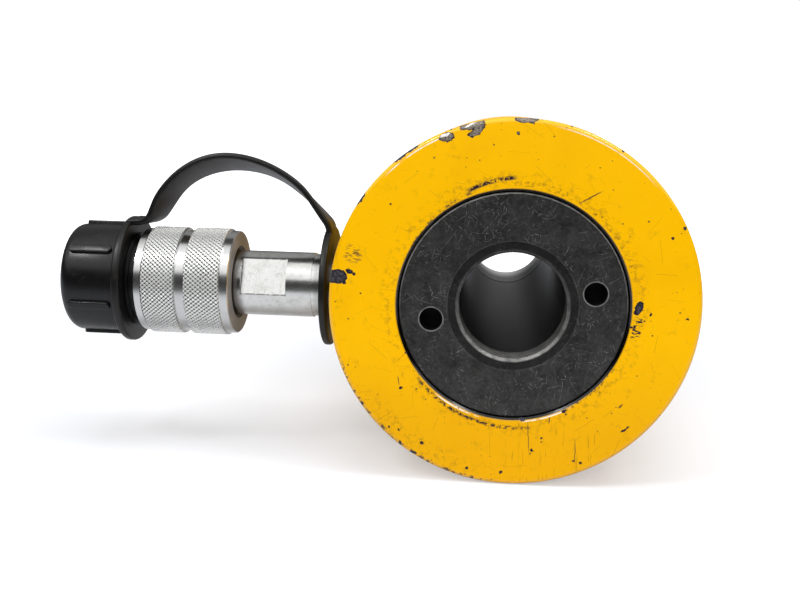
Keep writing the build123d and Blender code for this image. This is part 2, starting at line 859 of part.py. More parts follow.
# Walls that the rings of the piston head reach
outer_slide = bore_radius - sliding_clearance
inner_slide = tube_radius + sliding_clearance
outer_seal_bottom = bore_radius - seal_depth + groove_clearance
inner_seal_top = tube_radius + seal_depth - groove_clearance
outer_bearing_bottom = bore_radius - bearing_thickness + groove_clearance
inner_bearing_top = tube_radius + bearing_thickness - groove_clearance

parts = {
    "cylinder_body": cylinder_body(),
    "base_insert": base_insert(),
    "insert_o_ring": insert_o_ring(),
    "centre_tube": centre_tube(),
    "tube_o_ring": tube_o_ring(),
    "plunger": plunger(),
    "piston_seal": lip_seal(outer_seal_bottom, outer_slide),
    "piston_backup_ring": backup_ring(outer_seal_bottom, outer_slide),
    "piston_bearing": head_bearing(outer_bearing_bottom, outer_slide),
    "tube_seal": lip_seal(inner_slide, inner_seal_top),
    "tube_backup_ring": backup_ring(inner_slide, inner_seal_top),
    "tube_bearing": head_bearing(inner_slide, inner_bearing_top),
    "return_spring": return_spring(),
    "gland_nut": gland_nut(),
    "rod_bearing": rod_bearing(),
    "rod_wiper": rod_wiper(),
    "saddle": saddle(),
    "coupler_body": coupler_body(),
    "coupler_socket": coupler_socket(),
    "socket_o_ring": socket_o_ring(),
    "coupler_sleeve": coupler_sleeve(),
    "sleeve_retainer": sleeve_retainer(),
    "poppet": poppet(),
    "poppet_seal": poppet_seal(),
    "poppet_guide": poppet_guide(),
    "poppet_spring": poppet_spring(),
    "dust_cap": dust_cap(),
    "cap_strap": cap_strap(),
}

os.makedirs("parts", exist_ok=True)
for name, shape in parts.items():
    export_step(shape, f"parts/{name}.step")
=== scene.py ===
"""The looks of a hollow plunger cylinder lying on a pale floor, seen from its base end.

Sizes are in millimetres in the row frame: the barrel's axis is +Y from the base face, up is +Z, and the
coupler points along -X.
"""

import json
import logging
import math
from dataclasses import asdict, dataclass
from enum import Enum
from functools import cached_property, reduce

import bmesh
import bpy
from mathutils import Matrix, Vector

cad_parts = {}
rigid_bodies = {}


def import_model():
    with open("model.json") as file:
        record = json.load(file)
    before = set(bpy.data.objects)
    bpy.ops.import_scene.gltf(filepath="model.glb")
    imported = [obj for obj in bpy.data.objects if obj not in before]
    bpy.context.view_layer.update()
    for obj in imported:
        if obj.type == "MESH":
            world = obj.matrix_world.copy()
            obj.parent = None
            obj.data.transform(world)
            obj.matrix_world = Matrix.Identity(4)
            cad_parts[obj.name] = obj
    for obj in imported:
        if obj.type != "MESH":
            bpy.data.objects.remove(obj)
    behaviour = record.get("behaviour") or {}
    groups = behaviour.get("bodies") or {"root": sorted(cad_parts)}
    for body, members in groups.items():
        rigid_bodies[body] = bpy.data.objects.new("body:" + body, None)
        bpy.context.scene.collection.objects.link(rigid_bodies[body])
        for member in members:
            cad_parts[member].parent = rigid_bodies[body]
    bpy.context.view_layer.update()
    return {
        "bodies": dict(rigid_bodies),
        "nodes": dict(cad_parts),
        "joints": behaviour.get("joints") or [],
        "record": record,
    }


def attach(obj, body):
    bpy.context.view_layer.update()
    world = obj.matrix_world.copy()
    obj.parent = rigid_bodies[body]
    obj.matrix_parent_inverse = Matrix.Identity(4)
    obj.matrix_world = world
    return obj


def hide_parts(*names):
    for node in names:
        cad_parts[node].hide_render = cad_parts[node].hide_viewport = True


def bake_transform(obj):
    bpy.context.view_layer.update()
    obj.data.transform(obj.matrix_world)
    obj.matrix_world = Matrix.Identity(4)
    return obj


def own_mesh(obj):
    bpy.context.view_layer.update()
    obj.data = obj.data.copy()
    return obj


LOG = logging.getLogger("looks")
MM = 0.001
# Points of a mesh that are this near in metres count as one.
CLOSE = 1e-6
FULL_TURN = 2 * math.pi
ORIGIN = (0.0, 0.0, 0.0)
BARREL_RADIUS = 57.15
PORT_HEIGHT = 26.5
SLEEVE_START = 91.5
SLEEVE_RADIUS = 18.0
KNURL_COUNT = 80
KNURL_ROWS = 7
KNURL_ZONES = ((94.55, 106.15), (109.55, 120.35))

Socket = bpy.types.NodeSocket
Colour = tuple[float, float, float]
Point = tuple[float, float, float]
Span = tuple[float, float]
Outline = list[tuple[float, float]]


class Body(Enum):
    """The bodies of the frame that pieces ride on."""

    CYLINDER = "cylinder"
    PLUNGER = "plunger"
    SLEEVE = "coupler_sleeve"
    POPPET = "poppet"
    CAP = "dust_cap"


class Lie(Enum):
    """The line that a turned piece is turned about."""

    BARREL = "barrel"
    PORT = "port"


class Way(Enum):
    """How a mask is laid on a surface."""

    FACE = "face"
    ROUND_BARREL = "round the barrel"
    ROUND_PORT = "round the port"


def tone(red: int, green: int, blue: int) -> Colour:
    """Linear colour of a display colour.

    Args:
        red, green, blue: display values from 0 to 255.

    Returns:
        The three linear values, from 0 to 1.
    """
    parts = []
    for value in (red, green, blue):
        share = value / 255
        parts.append(share / 12.92 if share <= 0.04045 else ((share + 0.055) / 1.055) ** 2.4)
    return tuple(parts)


def placed(name: str, data: bpy.types.ID) -> bpy.types.Object:
    """A new object in the scene."""
    made = bpy.data.objects.new(name, data)
    bpy.context.scene.collection.objects.link(made)
    return made


class Field:
    """One number that varies over a surface, held as an output of a shader graph."""

    def __init__(self, graph: "Graph", socket: Socket) -> None:
        self.graph = graph
        self.socket = socket

    def __add__(self, other: "Field | float") -> "Field":
        return self.graph.math("ADD", self, other)

    def __sub__(self, other: "Field | float") -> "Field":
        return self.graph.math("SUBTRACT", self, other)

    def __rsub__(self, other: float) -> "Field":
        return self.graph.math("SUBTRACT", other, self)

    def __mul__(self, other: "Field | float") -> "Field":
        return self.graph.math("MULTIPLY", self, other)

    def __truediv__(self, other: "Field | float") -> "Field":
        return self.graph.math("DIVIDE", self, other)

    def lesser(self, other: "Field | float") -> "Field":
        """The smaller of the two."""
        return self.graph.math("MINIMUM", self, other)

    def greater(self, other: "Field | float") -> "Field":
        """The larger of the two."""
        return self.graph.math("MAXIMUM", self, other)

    def off(self, middle: float) -> "Field":
        """How far the number is from a middle value, without its sign."""
        return self.graph.math("ABSOLUTE", self - middle)

    def rise(self, low: float, high: float) -> "Field":
        """0 below low, 1 above high, smooth between."""
        return self.graph.ramp(self, low, high)

    def fall(self, low: float, high: float) -> "Field":
        """1 below low, 0 above high, smooth between."""
        return self.graph.ramp(self, high, low)

    def between(self, low: float, high: float, soft: float) -> "Field":
        """1 between low and high, 0 outside, with soft ends."""
        return self.rise(low - soft, low + soft) * self.fall(high - soft, high + soft)


class Graph:
    """Builds the nodes of a material, of the world or of a group."""

    def __init__(self, tree: bpy.types.NodeTree) -> None:
        self.tree = tree
        self.tree.nodes.clear()

    def node(self, kind: str, **options: object) -> bpy.types.Node:
        """A new node with its options set."""
        made = self.tree.nodes.new(kind)
        for key, value in options.items():
            setattr(made, key, value)
        return made

    def put(self, socket: Socket, value: object) -> None:
        """Sets an input: a field or an output is linked, a number or colour is written.

        Args:
            socket: the input.
            value: a Field, an output socket, a number, or a colour of three numbers.
        """
        if isinstance(value, Field):
            value = value.socket
        if isinstance(value, Socket):
            self.tree.links.new(value, socket)
        elif isinstance(value, tuple) and socket.type == "RGBA":
            socket.default_value = (*value, 1.0)
        else:
            socket.default_value = value

    def math(self, operation: str, first: object, second: object = None) -> Field:
        """One sum on one or two numbers."""
        made = self.node("ShaderNodeMath", operation=operation)
        self.put(made.inputs[0], first)
        if second is not None:
            self.put(made.inputs[1], second)
        return Field(self, made.outputs[0])

    def ramp(self, value: Field, low: float, high: float) -> Field:
        """Smooth step of a number from 0 at low to 1 at high; low may be the larger."""
        made = self.node("ShaderNodeMapRange", interpolation_type="SMOOTHSTEP")
        self.put(made.inputs["Value"], value)
        made.inputs["From Min"].default_value = low
        made.inputs["From Max"].default_value = high
        return Field(self, made.outputs["Result"])

    @cached_property
    def place(self) -> Socket:
        """The point of the surface in millimetres."""
        return self.vector("SCALE", self.node("ShaderNodeTexCoord").outputs["Object"], scale=1 / MM)

    def vector(self, operation: str, first: object, second: object = None,
               scale: float | None = None) -> Socket:
        """One sum on vectors.

        Args:
            operation: the name of the sum.
            first: the first vector.
            second: the second vector, if the sum takes one.
            scale: the factor, for SCALE.

        Returns:
            The output vector.
        """
        made = self.node("ShaderNodeVectorMath", operation=operation)
        self.put(made.inputs[0], first)
        if second is not None:
            self.put(made.inputs[1], second)
        if scale is not None:
            made.inputs["Scale"].default_value = scale
        return made.outputs[0]

    def split(self, vector: Socket) -> tuple[Field, Field, Field]:
        """The three numbers of a vector."""
        made = self.node("ShaderNodeSeparateXYZ")
        self.put(made.inputs[0], vector)
        return tuple(Field(self, output) for output in made.outputs)

    def join(self, x: object = 0.0, y: object = 0.0, z: object = 0.0) -> Socket:
        """A vector from three numbers."""
        made = self.node("ShaderNodeCombineXYZ")
        for socket, value in zip(made.inputs, (x, y, z)):
            self.put(socket, value)
        return made.outputs[0]

    def reach(self, first: Field, second: Field) -> Field:
        """Distance of a point from an axis, from its two numbers across it."""
        return self.math("SQRT", first * first + second * second)

    def distance(self, at: object, middle: Point = ORIGIN) -> Field:
        """Distance of a place from a point."""
        made = self.node("ShaderNodeVectorMath", operation="DISTANCE")
        self.put(made.inputs[0], at)
        self.put(made.inputs[1], middle)
        return Field(self, made.outputs["Value"])

    def moved(self, at: object, x: float, y: float = 0.0, z: float = 0.0) -> Socket:
        """The place moved by a step, so that a pattern read there differs from its like."""
        return self.vector("ADD", at, (x, y, z))

    def camera_ray(self) -> Field:
        """1 for what the camera sees directly, 0 for light and mirror images."""
        return Field(self, self.node("ShaderNodeLightPath").outputs["Is Camera Ray"])

    def flat(self, way: Way) -> Socket:
        """The place on a surface as two lengths, laid flat.

        Args:
            way: the end face as it is, or the side of the barrel or of the coupler unrolled.

        Returns:
            A vector whose first two numbers are the lengths in millimetres.
        """
        x, y, z = self.split(self.place)
        if way is Way.FACE:
            return self.join(x, z)
        if way is Way.ROUND_BARREL:
            return self.join(self.math("ARCTAN2", z, x) * BARREL_RADIUS, y)
        return self.join(x, self.math("ARCTAN2", z, y - PORT_HEIGHT) * SLEEVE_RADIUS)

    def noise(self, at: object, cell: float, detail: float = 3.0, rough: float = 0.55) -> Field:
        """Cloudy noise about 0.5.

        Args:
            at: the place, in millimetres.
            cell: size of its largest clouds.
            detail: number of finer layers.
            rough: share that each finer layer keeps.

        Returns:
            The noise.
        """
        made = self.node("ShaderNodeTexNoise")
        self.put(made.inputs["Vector"], at)
        made.inputs["Scale"].default_value = 1 / cell
        made.inputs["Detail"].default_value = detail
        made.inputs["Roughness"].default_value = rough
        return Field(self, made.outputs[0])

    def jostled(self, at: object, cell: float, reach: float) -> Socket:
        """The place moved about by noise, so that outlines read from it come out uneven."""
        made = self.node("ShaderNodeTexNoise")
        self.put(made.inputs["Vector"], at)
        made.inputs["Scale"].default_value = 1 / cell
        centred = self.vector("SUBTRACT", made.outputs[1], (0.5, 0.5, 0.5))
        return self.vector("ADD", at, self.vector("SCALE", centred, scale=2 * reach))

    def mask(self, kind: "MaskKind", at: object, **values: object) -> Field:
        """A shared mask, laid at a place.

        Args:
            kind: which mask.
            at: the place, flat, in millimetres.
            values: the mask's own numbers by name.

        Returns:
            The mask.
        """
        made = self.node("ShaderNodeGroup", node_tree=bpy.data.node_groups[kind.value])
        self.put(made.inputs["Place"], at)
        for key, value in values.items():
            self.put(made.inputs[key.capitalize()], value)
        return Field(self, made.outputs[0])

    def mix(self, share: object, first: object, second: object) -> Socket:
        """A colour between two: the first where share is 0, the second where it is 1."""
        made = self.node("ShaderNodeMix", data_type="RGBA")
        self.put(made.inputs[0], share)
        self.put(made.inputs[6], first)
        self.put(made.inputs[7], second)
        return made.outputs[2]

    def blend(self, share: Field, first: float, second: float) -> Field:
        """A number between two."""
        return share * (second - first) + first


class MaterialGraph(Graph):
    """Builds the nodes of one new material."""

    def __init__(self, name: str) -> None:
        self.material = bpy.data.materials.new(name)
        self.material.use_nodes = True
        super().__init__(self.material.node_tree)

    def surface(self, colour: object, roughness: object, height: Field, metallic: object = 0.0,
                **more: object) -> bpy.types.Material:
        """Closes the graph with its surface.

        Args:
            colour: base colour.
            roughness: roughness.
            height: relief in millimetres.
            metallic: 1 for bare metal.
            more: further inputs of the surface by name, with _ for a space.

        Returns:
            The finished material.
        """
        skin = self.node("ShaderNodeBsdfPrincipled")
        self.put(skin.inputs["Base Color"], colour)
        self.put(skin.inputs["Roughness"], roughness)
        self.put(skin.inputs["Metallic"], metallic)
        for key, value in more.items():
            self.put(skin.inputs[key.replace("_", " ")], value)
        bump = self.node("ShaderNodeBump")
        bump.inputs["Distance"].default_value = MM
        self.put(bump.inputs["Height"], height)
        self.put(skin.inputs["Normal"], bump.outputs[0])
        end = self.node("ShaderNodeOutputMaterial")
        self.tree.links.new(skin.outputs[0], end.inputs["Surface"])
        return self.material


class MaskKind(Enum):
    """The masks that several finishes share."""

    SCRATCHES = "scratches"
    SPECKS = "specks"
    OVAL = "oval"


class Masks:
    """Builds the shared masks once, each as a group of nodes.

    One random number of a cell, shuffled, also gives a scratch its strength.
    """

    shuffle = 7.3

    def build(self) -> None:
        """Makes the three groups."""
        self._scratches()
        self._specks()
        self._oval()

    def _group(self, kind: MaskKind, **defaults: float) -> tuple[Graph, bpy.types.NodeOutputs]:
        """An empty group with a place and numbers as inputs.

        Args:
            kind: the mask.
            defaults: its numbers, with their usual values.

        Returns:
            A graph that builds in the group, and the group's inputs, to be read by name.
        """
        tree = bpy.data.node_groups.new(kind.value, "ShaderNodeTree")
        sockets = tree.interface
        sockets.new_socket(name="Place", in_out="INPUT", socket_type="NodeSocketVector")
        for key, value in defaults.items():
            socket = sockets.new_socket(name=key.capitalize(), in_out="INPUT", socket_type="NodeSocketFloat")
            socket.default_value = value
        sockets.new_socket(name="Mask", in_out="OUTPUT", socket_type="NodeSocketFloat")
        graph = Graph(tree)
        return graph, graph.node("NodeGroupInput").outputs

    def _close(self, graph: Graph, mask: Field) -> None:
        """Gives the group its output."""
        graph.put(graph.node("NodeGroupOutput").inputs[0], mask)

    def _cells(self, graph: Graph, at: object, cell: object) -> tuple[Field, Field, Field, Socket]:
        """Scattered cells: three random numbers of the nearest one, and the way to it."""
        cells = graph.node("ShaderNodeTexVoronoi", voronoi_dimensions="2D")
        graph.put(cells.inputs["Vector"], at)
        graph.put(cells.inputs["Scale"], graph.math("DIVIDE", 1.0, cell))
        away = graph.vector("SUBTRACT", at, cells.outputs["Position"])
        return (*graph.split(cells.outputs["Color"]), away)

    def _scratches(self) -> None:
        """Thin, slightly bent lines, one at most in each cell, of uneven length and strength."""
        graph, given = self._group(MaskKind.SCRATCHES, cell=6.0, length=2.5, width=0.05, share=0.5, bend=0.03)
        first, second, third, away = self._cells(graph, given["Place"], given["Cell"])
        turned = graph.node("ShaderNodeVectorRotate", rotation_type="Z_AXIS")
        graph.put(turned.inputs["Vector"], away)
        graph.put(turned.inputs["Angle"], first * FULL_TURN)
        along, across, _ = graph.split(turned.outputs[0])
        bow = (second - 0.5) * given["Bend"]
        thin = graph.math("LESS_THAN", (across + along * along * bow).off(0.0), given["Width"])
        short = graph.math("LESS_THAN", along.off(0.0), second * given["Length"])
        shown = graph.math("LESS_THAN", third, given["Share"])
        strength = graph.blend(graph.math("FRACT", first * self.shuffle), 0.35, 1.0)
        self._close(graph, thin * short * shown * strength)

    def _specks(self) -> None:
        """Small uneven dots, one at most in each cell."""
        graph, given = self._group(MaskKind.SPECKS, cell=4.0, size=0.3, share=0.3)
        at = graph.jostled(given["Place"], 0.5, 0.12)
        first, second, third, away = self._cells(graph, at, given["Cell"])
        size = graph.blend(first * first, 0.25, 1.0) * given["Size"]
        inside = (graph.distance(away) / size).fall(0.75, 1.05)
        shown = graph.math("LESS_THAN", third, given["Share"])
        self._close(graph, inside * shown * graph.blend(second, 0.6, 1.0))

    def _oval(self) -> None:
        """Distance in millimetres to the edge of an oval, below 0 inside it."""
        graph, given = self._group(MaskKind.OVAL, x=0.0, y=0.0, long=1.0, wide=1.0, angle=0.0)
        middle = graph.join(given["X"], given["Y"])
        turned = graph.node("ShaderNodeVectorRotate", rotation_type="Z_AXIS")
        graph.put(turned.inputs["Vector"], graph.vector("SUBTRACT", given["Place"], middle))
        graph.put(turned.inputs["Angle"], graph.math("MULTIPLY", given["Angle"], -1.0))
        scaled = graph.vector("DIVIDE", turned.outputs[0], graph.join(given["Long"], given["Wide"], 1.0))
        thin = graph.math("MINIMUM", given["Long"], given["Wide"])
        self._close(graph, (graph.distance(scaled) - 1.0) * thin)


class BarrelPlace:
    """The coordinates of a point of the barrel or of its ends, in millimetres and degrees."""

    face_end: Span = (0.9, 1.4)

    def __init__(self, graph: Graph) -> None:
        self.graph = graph
        self.place = graph.place
        self.x, self.y, self.z = graph.split(self.place)
        self.face = graph.flat(Way.FACE)

    @cached_property
    def side(self) -> Socket:
        """The side of the barrel, unrolled."""
        return self.graph.flat(Way.ROUND_BARREL)

    @cached_property
    def radius(self) -> Field:
        """Distance from the barrel's axis."""
        return self.graph.reach(self.x, self.z)

    @cached_property
    def angle(self) -> Field:
        """Angle round the axis, from +X towards +Z."""
        return self.graph.math("ARCTAN2", self.z, self.x) * (180 / math.pi)

    @cached_property
    def on_face(self) -> Field:
        """1 on the base face, 0 on the side."""
        return self.y.fall(*self.face_end)


@dataclass(frozen=True)
class Oval:
    """An oval mark on the base face: its middle, half length, half width and angle."""

    x: float
    z: float
    long: float
    wide: float
    degrees: float = 0.0


@dataclass(frozen=True)
class Nick:
    """A small mark on the base face: its middle and its size."""

    x: float
    z: float
    size: float


@dataclass(frozen=True)
class Zone:
    """Part of a ring on the base face: its radii and angles, each with a soft edge; all round if not said.

    A slant moves the ring outwards with the angle, in millimetres a degree.
    """

    inner: float
    outer: float
    soft: float
    start: float = -200.0
    end: float = 200.0
    fade: float = 1.0
    slant: float = 0.0

    def mask(self, radius: Field, angle: Field) -> Field:
        """1 inside the zone, 0 outside it."""
        ring = (radius - angle * self.slant) if self.slant else radius
        ring = ring.between(self.inner, self.outer, self.soft)
        return ring * angle.between(self.start, self.end, self.fade)


@dataclass(frozen=True)
class Patches:
    """Patches of noise: its cell, the levels between which a patch comes up, and its finer layers."""

    cell: float
    low: float
    high: float
    detail: float = 3.0
    rough: float = 0.55

    def on(self, graph: Graph, at: object) -> Field:
        """The patches at a place."""
        return graph.noise(at, self.cell, self.detail, self.rough).rise(self.low, self.high)


@dataclass(frozen=True)
class Scratches:
    """Scratches of one kind: the cell of one, their length, width, share of full cells, and bend."""

    cell: float
    length: float
    width: float
    share: float
    bend: float

    def on(self, graph: Graph, at: object) -> Field:
        """The scratches at a place."""
        return graph.mask(MaskKind.SCRATCHES, at, **asdict(self))


@dataclass(frozen=True)
class Specks:
    """Specks of one kind: the cell of one, their size and share of full cells."""

    cell: float
    size: float
    share: float

    def on(self, graph: Graph, at: object) -> Field:
        """The specks at a place."""
        return graph.mask(MaskKind.SPECKS, at, **asdict(self))


@dataclass(frozen=True)
class Stain:
    """Dirt in a zone of the base face: its patches, its strength, and how its outline is moved about."""

    zone: Zone
    patches: Patches
    strength: float
    jostle: Span | None = None


@dataclass(frozen=True)
class Flecks:
    """A zone where the paint is off in flecks: the levels of the noise and the strength."""

    zone: Zone
    low: float
    high: float
    strength: float = 1.0


@dataclass(frozen=True)
class Gleam:
    """A painted highlight on an edge of the base face: radius, half width, angles, soft ends and strength."""

    radius: float
    reach: float
    start: float
    end: float
    fade: float
    strength: float = 1.0


@dataclass(frozen=True)
class Ring:
    """A bright ring on the base face, partly worn and partly a painted highlight: radius, half width,
    strength, and its share low and high on the face, which paints the highlight where light falls.
    """

    radius: float
    reach: float
    strength: float = 1.0
    low: float = 1.0
    high: float = 1.0


class Finish:
    """A finish that makes its material once, when a piece first asks for it."""

    _made: dict["Finish", bpy.types.Material] = {}

    def material(self) -> bpy.types.Material:
        """The finish's material."""
        if self not in Finish._made:
            Finish._made[self] = self.build()
        return Finish._made[self]

    def build(self) -> bpy.types.Material:
        """Makes the material."""
        raise NotImplementedError


def nearest(graph: Graph, at: object, ovals: tuple[Oval, ...]) -> Field:
    """Distance to the nearest of several ovals, below 0 inside one."""
    return reduce(Field.lesser, (
        graph.mask(MaskKind.OVAL, at, x=oval.x, y=oval.z, long=oval.long, wide=oval.wide,
                   angle=math.radians(oval.degrees)) for oval in ovals))


def nearest_nick(graph: Graph, at: object, nicks: tuple[Nick, ...]) -> Field:
    """Distance to the nearest of several small marks, below 0 inside one."""
    return reduce(Field.lesser, (graph.distance(at, (nick.x, nick.z, 0.0)) - nick.size for nick in nicks))


FACE_CHIPS = (
    Oval(-14.3, 54.8, 4.1, 1.4, 17), Oval(-12.9, 53.0, 3.2, 1.1, 34), Oval(-21.8, 51.0, 2.2, 1.5, 5),
    Oval(1.6, 56.6, 3.8, 0.85, -2), Oval(-54.5, 7.5, 3.3, 2.4, 4), Oval(-50.7, 9.3, 1.3, 0.75, -28),
    Oval(38.0, 1.1, 2.3, 1.35, 72), Oval(-35.9, 44.3, 2.6, 0.45, 39), Oval(-32.1, 47.0, 2.2, 0.4, 34),
    Oval(-47.5, 31.5, 2.3, 0.5, 56), Oval(-20.3, 53.7, 2.5, 0.25, 21), Oval(-29.4, -48.3, 1.3, 0.5, -8),
    Oval(17.2, -32.4, 1.0, 0.55, 18), Oval(4.5, -35.8, 0.9, 0.45, 5), Oval(36.1, -37.2, 1.5, 0.28, 26),
)
FACE_SCORES = (
    Oval(21.8, 34.2, 3.3, 0.2, 30), Oval(6.6, -41.1, 4.4, 0.12, -86), Oval(21.3, -45.5, 3.1, 0.13, -87),
    Oval(34.4, -29.9, 0.9, 0.3, 45), Oval(-34.6, -24.8, 1.2, 0.15, -81), Oval(12.9, -35.3, 1.1, 0.18, 88),
)
# Painted highlights: white glints on the steel of two chips.
FACE_GLINTS = (Oval(-22.4, 51.7, 1.6, 0.55, 20), Oval(-15.0, 54.6, 1.6, 0.3, 22))
FACE_NICKS = (
    Nick(-49.2, 8.4, 0.5), Nick(-52.2, 5.7, 0.6), Nick(36.1, -5.1, 0.46), Nick(3.7, 55.7, 0.37),
    Nick(-33.8, -27.1, 0.46), Nick(-26.7, -45.1, 0.52), Nick(-34.2, -41.0, 0.4), Nick(-37.3, -40.1, 0.37),
    Nick(-1.3, -53.2, 0.6), Nick(8.0, -45.3, 0.46), Nick(10.7, -41.3, 0.46), Nick(23.3, -48.8, 0.5),
    Nick(7.4, -46.7, 0.37), Nick(20.9, -48.3, 0.37), Nick(49.9, 25.9, 0.5), Nick(46.5, 22.6, 0.43),
    Nick(52.7, -1.6, 0.43), Nick(41.6, -0.6, 0.37), Nick(40.0, -2.9, 0.37), Nick(-0.5, 52.5, 0.43),
    Nick(15.4, 55.1, 0.37), Nick(30.6, 48.2, 0.34), Nick(-38.1, 30.4, 0.34), Nick(-12.2, -52.7, 0.4),
    Nick(-33.7, -45.2, 0.6),
)
FACE_FLECKS = (
    Flecks(Zone(44.3, 45.5, 0.4, 91.0, 113.0, 2.0, slant=-0.06), 0.44, 0.48),
    Flecks(Zone(40.1, 40.9, 0.4, 110.0, 153.0, 3.0, slant=-0.03), 0.5, 0.55, 0.8),
    Flecks(Zone(40.2, 41.2, 0.45, -140.0, -80.0, 4.0, slant=0.025), 0.48, 0.53),
    Flecks(Zone(35.9, 36.8, 0.15, -62.0, -28.0, 4.0), 0.54, 0.59),
)
HATCHED = ((Zone(36.9, 39.6, 0.4, -13.0, -3.0, 1.5), 1.0), (Zone(48.5, 54.0, 1.0, 161.0, 166.0, 1.5), 0.7))
HATCH_TURN = math.radians(-52.0)
HATCH_STRETCH = (0.35, 1.0, 1.0)
RIM_WEAR = Zone(55.85, 60.0, 0.15, -160.0, -92.0, 4.0)
FACE_STAINS = (
    Stain(Zone(36.9, 38.6, 0.6, 12.0, 92.0, 8.0), Patches(1.2, 0.5, 0.6, 5.0, 0.75), 0.8, (0.7, 0.5)),
    Stain(Zone(36.4, 41.0, 1.2), Patches(2.2, 0.5, 0.62, 6.0, 0.75), 0.4),
    Stain(Zone(50.5, 56.5, 2.0, -142.0, -104.0, 6.0), Patches(2.0, 0.5, 0.62, 6.0, 0.8), 0.5, (2.0, 0.8)),
)
# Painted highlights on the outer and inner round edges of the base face.
FACE_GLEAMS = (
    Gleam(55.8, 0.26, 113.0, 134.0, 3.0), Gleam(55.8, 0.26, 46.0, 76.0, 5.0, 0.7),
    Gleam(36.55, 0.3, -127.0, -106.0, 3.0), Gleam(36.55, 0.3, -82.0, -60.0, 3.0),
)


